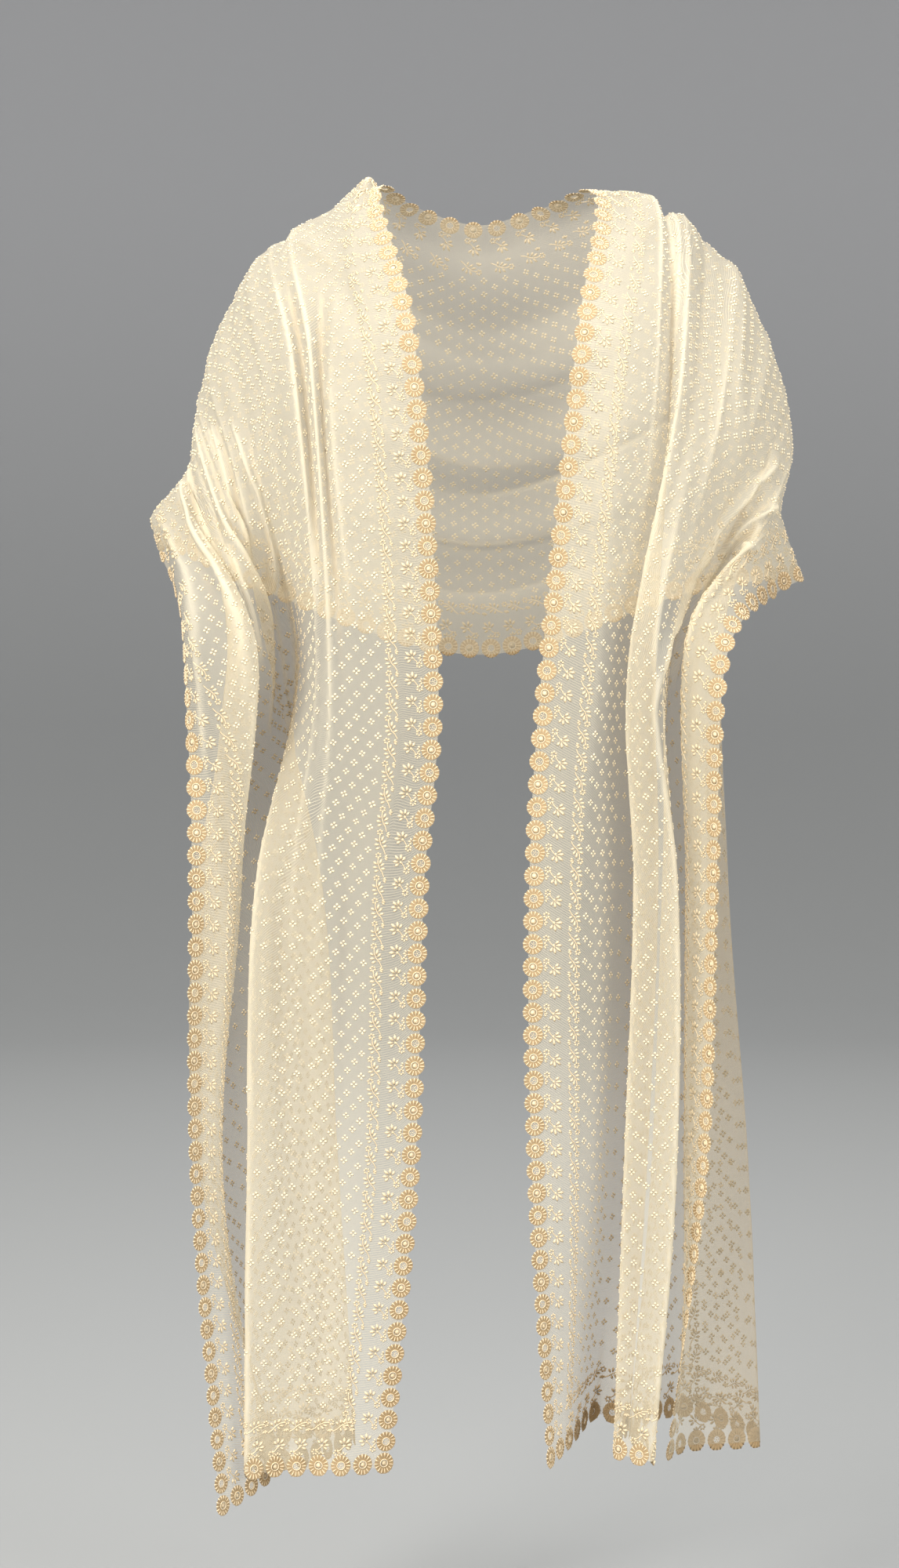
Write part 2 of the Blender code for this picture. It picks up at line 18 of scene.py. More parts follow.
import bpy
import numpy as np
from mathutils.kdtree import KDTree
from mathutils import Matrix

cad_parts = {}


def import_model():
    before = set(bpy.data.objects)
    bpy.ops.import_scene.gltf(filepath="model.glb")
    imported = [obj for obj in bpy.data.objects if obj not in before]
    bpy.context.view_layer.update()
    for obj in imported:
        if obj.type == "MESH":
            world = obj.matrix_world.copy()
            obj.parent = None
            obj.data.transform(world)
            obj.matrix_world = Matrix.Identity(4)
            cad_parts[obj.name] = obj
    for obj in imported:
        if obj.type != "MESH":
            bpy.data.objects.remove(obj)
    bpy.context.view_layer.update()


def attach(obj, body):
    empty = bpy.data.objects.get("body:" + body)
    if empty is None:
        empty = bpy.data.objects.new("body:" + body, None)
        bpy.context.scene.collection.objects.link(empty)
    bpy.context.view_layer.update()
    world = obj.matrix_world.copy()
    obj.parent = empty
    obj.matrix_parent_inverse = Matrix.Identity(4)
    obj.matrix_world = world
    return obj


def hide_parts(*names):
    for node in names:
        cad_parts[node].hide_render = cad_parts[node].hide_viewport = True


LOG = logging.getLogger("lace_shawl")
Array = np.ndarray

# A section across the worn shawl. across holds the flat places, counted from the neck edge, where fold lines
# cross it, and points holds where each of those lines passes: x, y, z
Section = namedtuple("Section", "across points")

# The middle of the back, and halfway from the spine to the arm for the wearer's left (+X)
BACK_ACROSS = (0.0, 0.065, 0.18, 0.3, 0.42, 0.55, 0.655, 0.72)
BACK_CENTRE = Section(BACK_ACROSS, (
    (0.0, 0.085, -0.015), (0.0, 0.102, -0.05), (0.0, 0.122, -0.125), (0.0, 0.133, -0.205),
    (0.0, 0.137, -0.28), (0.0, 0.134, -0.35), (0.0, 0.13, -0.41), (0.0, 0.128, -0.468),
))
BACK_HALF = Section(BACK_ACROSS, (
    (0.062, 0.07, 0.0), (0.082, 0.09, -0.022), (0.125, 0.11, -0.082), (0.165, 0.119, -0.148),
    (0.192, 0.123, -0.212), (0.212, 0.122, -0.285), (0.222, 0.12, -0.345), (0.222, 0.118, -0.402),
))

# The side at -X, from over the shoulder to the hem
RIGHT_TOP_ACROSS = (
    0.0, 0.065, 0.1, 0.125, 0.15, 0.17, 0.19, 0.25, 0.32, 0.4, 0.46, 0.535, 0.63, 0.675, 0.72,
)
RIGHT_SHOULDER = Section(RIGHT_TOP_ACROSS, (
    (-0.1, 0.008, 0.01), (-0.11, 0.026, 0.012), (-0.118, 0.042, 0.024), (-0.152, 0.022, -0.009),
    (-0.19, 0.022, -0.028), (-0.198, 0.004, -0.042), (-0.21, 0.02, -0.044), (-0.24, 0.02, -0.078),
    (-0.266, 0.02, -0.13), (-0.283, 0.018, -0.192), (-0.289, 0.016, -0.228), (-0.29, 0.012, -0.26),
    (-0.305, 0.01, -0.288), (-0.328, 0.004, -0.318), (-0.318, -0.004, -0.354),
))
RIGHT_CHEST = Section(RIGHT_TOP_ACROSS, (
    (-0.065, -0.122, -0.119), (-0.122, -0.128, -0.138), (-0.147, -0.124, -0.148), (-0.158, -0.108, -0.152),
    (-0.169, -0.121, -0.155), (-0.177, -0.102, -0.162), (-0.186, -0.115, -0.166), (-0.214, -0.09, -0.205),
    (-0.234, -0.086, -0.258), (-0.25, -0.072, -0.29), (-0.263, -0.08, -0.318), (-0.282, -0.054, -0.318),
    (-0.292, -0.07, -0.33), (-0.313, -0.052, -0.35), (-0.308, -0.046, -0.392),
))
RIGHT_ELBOW = Section(RIGHT_TOP_ACROSS, (
    (-0.037, -0.13, -0.468), (-0.098, -0.142, -0.468), (-0.125, -0.143, -0.468), (-0.138, -0.14, -0.467),
    (-0.149, -0.142, -0.466), (-0.156, -0.138, -0.465), (-0.162, -0.128, -0.464), (-0.18, -0.074, -0.458),
    (-0.186, -0.018, -0.452), (-0.216, -0.036, -0.448), (-0.218, -0.094, -0.446), (-0.252, -0.098, -0.44),
    (-0.226, -0.142, -0.442), (-0.286, -0.136, -0.44), (-0.296, -0.092, -0.45),
))
RIGHT_LOW_ACROSS = (0.0, 0.065, 0.1, 0.125, 0.15, 0.17, 0.19, 0.25, 0.32, 0.4, 0.46, 0.52, 0.575, 0.63, 0.72)
RIGHT_HIP = Section(RIGHT_LOW_ACROSS, (
    (-0.05, -0.125, -0.678), (-0.112, -0.137, -0.678), (-0.135, -0.13, -0.678), (-0.147, -0.131, -0.678),
    (-0.16, -0.133, -0.678), (-0.172, -0.131, -0.678), (-0.186, -0.13, -0.678), (-0.222, -0.127, -0.678),
    (-0.204, -0.046, -0.678), (-0.165, 0.026, -0.678), (-0.214, 0.04, -0.678), (-0.258, 0.002, -0.678),
    (-0.285, -0.05, -0.678), (-0.238, -0.1, -0.678), (-0.29, -0.142, -0.678),
))
RIGHT_KNEE = Section(RIGHT_LOW_ACROSS, (
    (-0.06, -0.112, -0.975), (-0.12, -0.128, -0.975), (-0.142, -0.123, -0.975), (-0.153, -0.122, -0.975),
    (-0.165, -0.125, -0.975), (-0.175, -0.124, -0.975), (-0.187, -0.127, -0.975), (-0.232, -0.132, -0.975),
    (-0.195, -0.05, -0.975), (-0.147, 0.034, -0.975), (-0.202, 0.046, -0.975), (-0.25, 0.01, -0.975),
    (-0.286, -0.052, -0.975), (-0.258, -0.108, -0.975), (-0.288, -0.156, -0.975),
))
RIGHT_HEM_ACROSS = (
    0.0, 0.065, 0.1, 0.125, 0.15, 0.17, 0.19, 0.25, 0.275, 0.32, 0.4, 0.46, 0.52, 0.575, 0.63, 0.72,
)
RIGHT_HEM = Section(RIGHT_HEM_ACROSS, (
    (-0.088, -0.1, -1.28), (-0.143, -0.119, -1.279), (-0.162, -0.117, -1.279), (-0.172, -0.116, -1.279),
    (-0.182, -0.12, -1.279), (-0.19, -0.121, -1.279), (-0.199, -0.124, -1.278), (-0.236, -0.138, -1.278),
    (-0.224, -0.112, -1.278), (-0.18, -0.094, -1.277), (-0.128, 0.012, -1.277), (-0.18, 0.042, -1.279),
    (-0.226, 0.002, -1.282), (-0.202, -0.052, -1.288), (-0.212, -0.082, -1.294), (-0.262, -0.15, -1.316),
))

# The side at +X, from over the shoulder to the hem
LEFT_ACROSS = (0.0, 0.065, 0.13, 0.19, 0.25, 0.3, 0.37, 0.42, 0.47, 0.56, 0.63, 0.72)
LEFT_SHOULDER = Section(LEFT_ACROSS, (
    (0.114, 0.0, 0.004), (0.148, 0.03, 0.008), (0.176, 0.02, 0.005), (0.186, -0.002, -0.018),
    (0.206, 0.012, -0.014), (0.226, 0.016, -0.038), (0.262, 0.02, -0.076), (0.284, 0.02, -0.128),
    (0.302, 0.02, -0.18), (0.311, 0.014, -0.25), (0.3, 0.006, -0.31), (0.325, -0.002, -0.386),
))
LEFT_CHEST = Section(LEFT_ACROSS, (
    (0.094, -0.12, -0.119), (0.14, -0.128, -0.132), (0.175, -0.116, -0.148), (0.189, -0.088, -0.16),
    (0.2, -0.108, -0.162), (0.22, -0.09, -0.182), (0.25, -0.08, -0.2), (0.272, -0.064, -0.222),
    (0.29, -0.048, -0.248), (0.301, -0.04, -0.294), (0.288, -0.05, -0.338), (0.3, -0.042, -0.4),
))
LEFT_ELBOW = Section(LEFT_ACROSS, (
    (0.055, -0.13, -0.468), (0.115, -0.138, -0.468), (0.146, -0.098, -0.468), (0.176, -0.07, -0.466),
    (0.146, -0.138, -0.462), (0.171, -0.154, -0.458), (0.19, -0.094, -0.45), (0.196, -0.05, -0.442),
    (0.22, -0.03, -0.436), (0.244, -0.07, -0.43), (0.204, -0.122, -0.432), (0.246, -0.142, -0.46),
))
LEFT_HIP = Section(LEFT_ACROSS, (
    (0.042, -0.14, -0.678), (0.1, -0.136, -0.678), (0.148, -0.078, -0.678), (0.18, -0.054, -0.678),
    (0.152, -0.13, -0.678), (0.193, -0.142, -0.678), (0.182, -0.084, -0.678), (0.192, -0.03, -0.678),
    (0.216, 0.002, -0.678), (0.25, -0.05, -0.678), (0.205, -0.094, -0.678), (0.236, -0.142, -0.678),
))
LEFT_KNEE = Section(LEFT_ACROSS, (
    (0.045, -0.145, -0.975), (0.096, -0.124, -0.975), (0.136, -0.068, -0.975), (0.17, -0.044, -0.975),
    (0.143, -0.128, -0.975), (0.193, -0.142, -0.975), (0.172, -0.08, -0.975), (0.184, -0.026, -0.975),
    (0.214, 0.012, -0.975), (0.272, -0.05, -0.975), (0.206, -0.09, -0.975), (0.226, -0.136, -0.975),
))
LEFT_HEM = Section(LEFT_ACROSS, (
    (0.066, -0.14, -1.27), (0.092, -0.084, -1.257), (0.118, -0.024, -1.243), (0.152, -0.046, -1.25),
    (0.133, -0.125, -1.259), (0.172, -0.142, -1.265), (0.15, -0.074, -1.251), (0.174, -0.024, -1.246),
    (0.21, 0.022, -1.25), (0.286, -0.05, -1.265), (0.212, -0.084, -1.262), (0.184, -0.124, -1.264),
))


def mirrored(section: Section) -> Section:
    """The same section on the other side of the body."""
    return Section(section.across, tuple((-x, y, z) for x, y, z in section.points))


RIGHT_SIDE = (RIGHT_SHOULDER, RIGHT_CHEST, RIGHT_ELBOW, RIGHT_HIP, RIGHT_KNEE, RIGHT_HEM)
LEFT_SIDE = (LEFT_SHOULDER, LEFT_CHEST, LEFT_ELBOW, LEFT_HIP, LEFT_KNEE, LEFT_HEM)
SECTIONS = RIGHT_SIDE[::-1] + (mirrored(BACK_HALF), BACK_CENTRE, BACK_HALF) + LEFT_SIDE
CENTRE = len(SECTIONS) // 2
SHOULDER = 2
ELBOW = 4


class Stretch(Enum):
    """The parts of the shawl that its sprigs and its edging are made in."""

    RIGHT_FALL = "right_fall"
    RIGHT_UPPER = "right_upper"
    BACK = "back"
    LEFT_UPPER = "left_upper"
    LEFT_FALL = "left_fall"


class Lead(Enum):
    """Which of the cloth's two directions a motif is squared to."""

    ALONG = 0.0
    ACROSS = 1.0


@dataclass(frozen=True)
class Cut:
    """The flat cloth and the sizes of what is worked on it, in metres."""

    width: float = 0.72
    length: float = 3.0
    border: float = 0.065
    scallop_pitch: float = 0.0225
    valley: float = 0.0065
    wheel_centre: float = 0.0106
    spray_line: float = 0.031
    vine_line: float = 0.0515
    column_pitch: float = 0.00728
    row_pitch: float = 0.0226


@dataclass(frozen=True)
class Crease:
    """A fine crease over the flat cloth; a negative height is a trough.

    path holds places along and across the cloth, and edge says how clearly its crest shows as a line.
    """

    path: tuple[tuple[float, float], ...]
    width: float
    height: float
    edge: float = 0.0


@dataclass(frozen=True)
class Finish:
    """The look of one cotton: its colour, the colour of the shade painted into its folds and under sides, and
    how matt it is.
    """

    name: str
    colour: tuple[float, float, float]
    painted_shading_colour: tuple[float, float, float]
    roughness: float = 0.9


CUT = Cut()
# The second colour of each finish is the shade painted inside the folds, in the net's troughs and on the
# motifs' under sides
NET = Finish("cream_net", (0.80, 0.71, 0.52), (0.59, 0.49, 0.33))
LACE = Finish("ecru_lace", (0.84, 0.69, 0.46), (0.38, 0.26, 0.13))
SPRIG = Finish("cream_thread", (0.93, 0.80, 0.57), (0.43, 0.32, 0.18))

# The pleats that gather the cloth over each elbow, and the crisp edges of the main folds
PLEATS = (
    Crease(((-0.36, 0.66), (-0.46, 0.66), (-0.55, 0.66), (-0.67, 0.667), (-0.80, 0.68)), 0.009, 0.0088, 0.8),
    Crease(((-0.35, 0.595), (-0.45, 0.615), (-0.52, 0.625), (-0.63, 0.64), (-0.76, 0.64)),
           0.009, 0.0112, 1.0),
    Crease(((-0.34, 0.53), (-0.44, 0.55), (-0.53, 0.565), (-0.64, 0.57), (-0.74, 0.56)), 0.008, 0.0088, 0.7),
    Crease(((-0.34, 0.425), (-0.43, 0.442), (-0.50, 0.444), (-0.65, 0.43), (-0.78, 0.46)),
           0.008, 0.0112, 1.0),
    Crease(((-0.38, 0.38), (-0.46, 0.395), (-0.53, 0.41), (-0.62, 0.39)), 0.007, 0.0088, 0.9),
    Crease(((-0.41, 0.335), (-0.50, 0.312), (-0.56, 0.318), (-0.64, 0.375)), 0.008, 0.0075, 0.7),
    Crease(((-0.31, 0.14), (-0.39, 0.114), (-0.44, 0.066), (-0.49, 0.025)), 0.012, -0.005),
    Crease(((-0.27, 0.15), (-0.45, 0.15), (-0.68, 0.15), (-1.0, 0.15)), 0.004, 0.0015, 0.9),
    Crease(((-0.27, 0.19), (-0.45, 0.19), (-0.68, 0.19), (-1.0, 0.19)), 0.004, 0.0015, 0.9),
    Crease(((-0.68, 0.25), (-0.91, 0.25), (-1.21, 0.25), (-1.49, 0.25)), 0.004, 0.001, 0.8),
    Crease(((0.44, 0.52), (0.49, 0.49), (0.56, 0.436), (0.62, 0.386), (0.665, 0.33), (0.74, 0.29)),
           0.008, 0.0112, 1.0),
    Crease(((0.44, 0.60), (0.50, 0.56), (0.57, 0.49), (0.625, 0.448), (0.74, 0.43)), 0.008, 0.01, 0.8),
    Crease(((0.47, 0.66), (0.54, 0.60), (0.62, 0.54), (0.74, 0.50)), 0.007, 0.0075, 0.6),
    Crease(((0.30, 0.35), (0.41, 0.37), (0.47, 0.396), (0.54, 0.398)), 0.014, 0.004, 0.3),
    Crease(((0.28, 0.13), (0.45, 0.13), (0.55, 0.13), (0.66, 0.13)), 0.004, 0.0015, 0.9),
    Crease(((0.27, 0.25), (0.45, 0.25), (0.68, 0.25), (1.0, 0.25), (1.49, 0.25)), 0.004, 0.0015, 1.0),
    Crease(((0.68, 0.30), (0.91, 0.30), (1.21, 0.30), (1.49, 0.30)), 0.004, 0.001, 0.8),
)

# Fine creases beside the main folds, right side, back and left side: where each starts and ends, along and
# across the cloth, its width and its height
FINE_CREASES = (
    (-0.23, 0.21, -0.62, 0.265, 0.01, 0.0035), (-0.26, 0.27, -0.66, 0.335, 0.012, -0.003),
    (-0.25, 0.34, -0.7, 0.385, 0.009, 0.003), (-0.3, 0.4, -0.74, 0.44, 0.011, 0.0035),
    (-0.33, 0.47, -0.72, 0.49, 0.008, -0.003), (-0.36, 0.53, -0.78, 0.5, 0.01, 0.003),
    (-0.4, 0.6, -0.8, 0.56, 0.009, 0.0035), (-0.44, 0.66, -0.86, 0.6, 0.008, 0.003),
    (-0.55, 0.69, -0.95, 0.66, 0.009, -0.0025), (-0.58, 0.3, -0.8, 0.29, 0.007, 0.003),
    (-0.6, 0.36, -0.82, 0.36, 0.006, -0.003), (-0.57, 0.43, -0.84, 0.42, 0.007, 0.003),
    (-0.6, 0.56, -0.86, 0.545, 0.006, -0.003), (-0.62, 0.64, -0.9, 0.615, 0.007, 0.0025),
    (-0.8, 0.215, -1.3, 0.222, 0.01, 0.0022), (-0.88, 0.285, -1.44, 0.3, 0.012, -0.0025),
    (-0.92, 0.36, -1.46, 0.355, 0.01, 0.0025), (-0.9, 0.44, -1.4, 0.43, 0.012, 0.0025),
    (-0.95, 0.545, -1.45, 0.55, 0.01, -0.0025), (-0.9, 0.6, -1.42, 0.6, 0.009, 0.0025),
    (-0.86, 0.67, -1.38, 0.675, 0.01, 0.002), (-0.5, 0.04, -1.2, 0.045, 0.014, 0.002),
    (-0.22, 0.2, 0.1, 0.235, 0.012, 0.003), (-0.12, 0.3, 0.23, 0.27, 0.013, 0.003),
    (-0.24, 0.36, 0.06, 0.4, 0.011, -0.003), (-0.05, 0.46, 0.22, 0.44, 0.012, 0.003),
    (-0.2, 0.55, 0.14, 0.575, 0.012, 0.0025), (-0.16, 0.64, 0.2, 0.63, 0.01, 0.0025),
    (0.22, 0.22, 0.6, 0.215, 0.01, 0.003), (0.25, 0.3, 0.66, 0.275, 0.011, -0.0028),
    (0.27, 0.35, 0.72, 0.34, 0.009, 0.0032), (0.3, 0.43, 0.7, 0.4, 0.012, 0.0035),
    (0.36, 0.5, 0.78, 0.44, 0.009, -0.003), (0.38, 0.56, 0.76, 0.52, 0.01, 0.0032),
    (0.42, 0.62, 0.82, 0.595, 0.008, 0.003), (0.46, 0.67, 0.84, 0.655, 0.009, -0.0025),
    (0.6, 0.32, 0.84, 0.325, 0.006, 0.0028), (0.58, 0.39, 0.82, 0.395, 0.007, -0.003),
    (0.6, 0.49, 0.86, 0.5, 0.006, 0.003), (0.61, 0.6, 0.88, 0.61, 0.007, 0.0025),
    (0.85, 0.09, 1.34, 0.095, 0.012, 0.0022), (0.9, 0.16, 1.42, 0.155, 0.01, -0.0025),
    (0.86, 0.275, 1.36, 0.278, 0.009, 0.0018), (0.92, 0.345, 1.45, 0.335, 0.01, 0.0025),
    (0.95, 0.51, 1.44, 0.515, 0.012, -0.0025), (0.88, 0.59, 1.4, 0.6, 0.01, 0.0025),
    (0.84, 0.68, 1.35, 0.685, 0.01, 0.002), (0.5, 0.03, 1.1, 0.035, 0.014, 0.0018),
)
CREASES = tuple(
    Crease(((a, b), (c, d)), width, height) for a, b, c, d, width, height in FINE_CREASES
) + PLEATS

# How finely the cloth is made, along it and across it
ROWS = 549
COLUMNS = 181
FINE_COLUMNS = 361
FOLD_TENSION = 0.62
ACROSS_SAMPLES = 145
LAST_CELL = 1.001

# The swags of the back, and how the fine creases fade
SWAG_COUNT = 5
SWAG_HEIGHT = 0.007
SWAG_REACH = 0.85
CREASE_FADE = 0.6
EDGE_WIDTH = 0.0030

# The line across the cloth, inside a pleat, where rows counted from the neck edge meet rows counted from the
# outer edge: places along the cloth, and the flat place across it at each
SEAM_ALONG = (-1.505, -0.91, -0.68, -0.45, -0.31, 0.0, 0.31, 1.505)
SEAM_ACROSS = (0.40, 0.40, 0.31, 0.17, 0.17, 0.24, 0.19, 0.19)

# Where the upper stretches and the falls start, each as a share of the way between two sections
UPPER_START = 0.35
FALL_START = 0.9

# What makes a fold look sharp, and how much shade is painted in a trough: the bend across a fold, per metre,
# and the depth of a trough
FOLD_BEND = (45.0, 160.0)
TROUGH_REACH = 4
TROUGH_DEPTH = (0.0004, 0.0036)

# Painted shade inside the hanging falls: how dark it is painted, and where: below the elbows, behind the
# front folds, much less on the outer side
FOLD_SHADE_STRENGTH = 0.9
BELOW_ELBOWS = (0.30, 0.50)
BEHIND_FRONT = (-0.122, -0.055)
OUTER_SIDE = (0.0, 0.05)
OUTER_RELIEF = 0.9

# How much shade is painted on an under side and in a trough of the net
UNDER_SHADE = 0.9
TROUGH_SHADE = 1.0

# The net's threads: their spacing, their three ways in degrees, where a thread ends, and how much light each
# part stops
NET_CELL = 0.0012
NET_WAYS = (0.0, 60.0, 120.0)
NET_THREAD_EDGE = (0.16, 0.40)
NET_THREAD_ALPHA = 0.64
NET_HOLE_ALPHA = 0.06
NET_FOLD_ALPHA = 0.42

# The stitching's uneven tone and its grain
TONE_SCALE = 60.0
TONE_CHANGE = 0.30
GRAIN_SCALE = 2600.0
GRAIN_STRENGTH = 0.25
GRAIN_DEPTH = 0.0002

# How a motif is carried: over what distance the cloth is measured, and the least area that a fold leaves it
CARRY_STEP = 0.003
LEAST_AREA = 0.2

# Outlines of the raised lobes, over their length and their width, and where a lobe is highest
PETAL = ((0.0, 0.0), (0.36, -0.46), (0.82, -0.44), (1.0, 0.0), (0.82, 0.44), (0.36, 0.46))
LEAF = ((0.0, 0.0), (0.30, -0.36), (0.68, -0.50), (1.0, 0.0), (0.68, 0.50), (0.30, 0.36))
SPOKE = ((0.0, -0.17), (0.50, -0.30), (0.86, -0.47), (1.0, 0.0), (0.86, 0.47), (0.50, 0.30), (0.0, 0.17))
LOBE_CREST = 0.62
LIFT = 0.00016
WEB_LIFT = 0.0002


def smooth_curve(knots: Sequence[float], values: Any, places: Any, tension: float = 1.0) -> Array:
    """Points of a smooth curve, read at some places along it.

    Args:
        knots: where the curve has its given values, in rising order.
        values: the value at each knot, a number or a row of numbers.
        places: where the curve is read.
        tension: how softly it bends at a knot; a lower number folds more crisply.

    Returns:
        One value for each place.
    """
    knots = np.asarray(knots, float)
    values = np.asarray(values, float)
    slopes = np.empty_like(values)
    steps = np.diff(knots)
    wide = steps.reshape((-1,) + (1,) * (values.ndim - 1))
    secants = np.diff(values, axis=0) / wide
    before, after = wide[:-1], wide[1:]
    slopes[1:-1] = (secants[:-1] * after + secants[1:] * before) / (before + after) * tension
    slopes[0] = secants[0]
    slopes[-1] = secants[-1]
    where = np.clip(np.searchsorted(knots, places, side="right") - 1, 0, len(knots) - 2)
    span = steps[where]
    u = (np.asarray(places) - knots[where]) / span
    shape = (-1,) + (1,) * (values.ndim - 1)
    u, span = u.reshape(shape), span.reshape(shape)
    start, end = values[where], values[where + 1]
    rise, fall = slopes[where] * span, slopes[where + 1] * span
    return (
        start * (2 * u**3 - 3 * u**2 + 1)
        + rise * (u**3 - 2 * u**2 + u)
        + end * (3 * u**2 - 2 * u**3)
        + fall * (u**3 - u**2)
    )


def unit(vectors: Array) -> Array:
    """The same vectors with a length of one."""
    return vectors / np.maximum(np.linalg.norm(vectors, axis=-1, keepdims=True), 1e-12)


def soft_step(values: Array, low: float, high: float) -> Array:
    """0 below low, 1 above high and a soft rise between them."""
    share = np.clip((np.asarray(values, float) - low) / (high - low), 0.0, 1.0)
    return share * share * (3.0 - 2.0 * share)


def travelled(points: Array, axis: int) -> Array:
    """The length walked through a grid of points along one of its axes, from 0 at the first."""
    steps = np.linalg.norm(np.diff(points, axis=axis), axis=-1)
    pad = [(0, 0)] * steps.ndim
    pad[axis] = (1, 0)
    return np.pad(np.cumsum(steps, axis=axis), pad)


def on_circle(angle: float, radius: float) -> tuple[float, float]:
    """The point at an angle, in radians, on a circle about the middle."""
    return radius * math.cos(angle), radius * math.sin(angle)


def turns(count: int, first: float = 0.0) -> list[float]:
    """Angles evenly spaced round a circle, in degrees."""
    return [first + 360.0 * k / count for k in range(count)]


def mark(mesh: bpy.types.Mesh, name: str, values: Any, domain: str = "POINT") -> None:
    """Stores one number for each point or face of a mesh."""
    mesh.attributes.new(name, "FLOAT", domain).data.foreach_set("value", values)


def linked(name: str, data: bpy.types.ID) -> bpy.types.Object:
    """A new object in the scene."""
    item = bpy.data.objects.new(name, data)
    bpy.context.scene.collection.objects.link(item)
    return item


class Drape:
    """The worn shape of the cloth, over the distance along it and the distance across it."""

    def __init__(self) -> None:
        """Reads the sections and spaces them by their real distance."""
        self.across = np.linspace(0.0, CUT.width, ACROSS_SAMPLES)
        self.rows = np.array([
            smooth_curve(section.across, section.points, self.across, FOLD_TENSION) for section in SECTIONS
        ])
        gaps = np.linalg.norm(np.diff(self.rows, axis=0), axis=2).mean(axis=1)
        half = np.cumsum((gaps[CENTRE:] + gaps[CENTRE - 1::-1]) / 2)
        self.along = np.concatenate((-half[::-1], [0.0], half))

    def points(self, along: Array, across: Array) -> Array:
        """Points of a grid over the cloth.

        Args:
            along: the place of each row along the cloth.
            across: the place of each column across it.

        Returns:
            The points, rows by columns by 3.
        """
        lines = smooth_curve(self.along, self.rows, along)
        grid = np.empty((len(along), len(across), 3))
        for index, line in enumerate(lines):
            grid[index] = smooth_curve(self.across, line, across)
        grid[..., 1] += self.swag(along[:, None], across[None, :])
        return grid

    def swag(self, along: Array, across: Array) -> Array:
        """How far the soft swags push the back outwards."""
        reach = self.along[CENTRE + SHOULDER] * SWAG_REACH
        fade = np.clip(1.0 - (along / reach) ** 2, 0.0, 1.0) ** 2
        wave = np.sin(2 * math.pi * SWAG_COUNT * across / CUT.width)
        return SWAG_HEIGHT * fade * wave * np.sqrt(np.clip(np.sin(math.pi * across / CUT.width), 0.0, 1.0))


def creased(along: Array, across: Array) -> tuple[Array, Array]:
    """The fine creases at each point of a grid of flat places.

    Args:
        along: places along the cloth.
        across: places across it.

    Returns:
        How far the creases lift the cloth, and how clearly a crest shows, from 0 to 1.
    """
    shape = np.broadcast(along, across).shape
    heights, edges = np.zeros(shape), np.zeros(shape)
    for crease in CREASES:
        starts, ends = crease.path[:-1], crease.path[1:]
        spans = [math.dist(start, end) for start, end in zip(starts, ends)]
        nearest = np.full(shape, np.inf)
        walked = np.zeros(shape)
        before = 0.0
        for start, end, span in zip(starts, ends, spans):
            run, drift = end[0] - start[0], end[1] - start[1]
            share = np.clip(((along - start[0]) * run + (across - start[1]) * drift) / span**2, 0.0, 1.0)
            gap = np.hypot(along - start[0] - share * run, across - start[1] - share * drift)
            closer = gap < nearest
            nearest = np.where(closer, gap, nearest)
            walked = np.where(closer, before + share * span, walked)
            before += span
        fade = np.sin(math.pi * np.clip(walked / before, 0.0, 1.0)) ** CREASE_FADE
        heights += crease.height * fade * np.exp(-((nearest / crease.width) ** 2))
        edges = np.maximum(edges, crease.edge * fade * np.exp(-((nearest / EDGE_WIDTH) ** 2)))
    return heights, edges


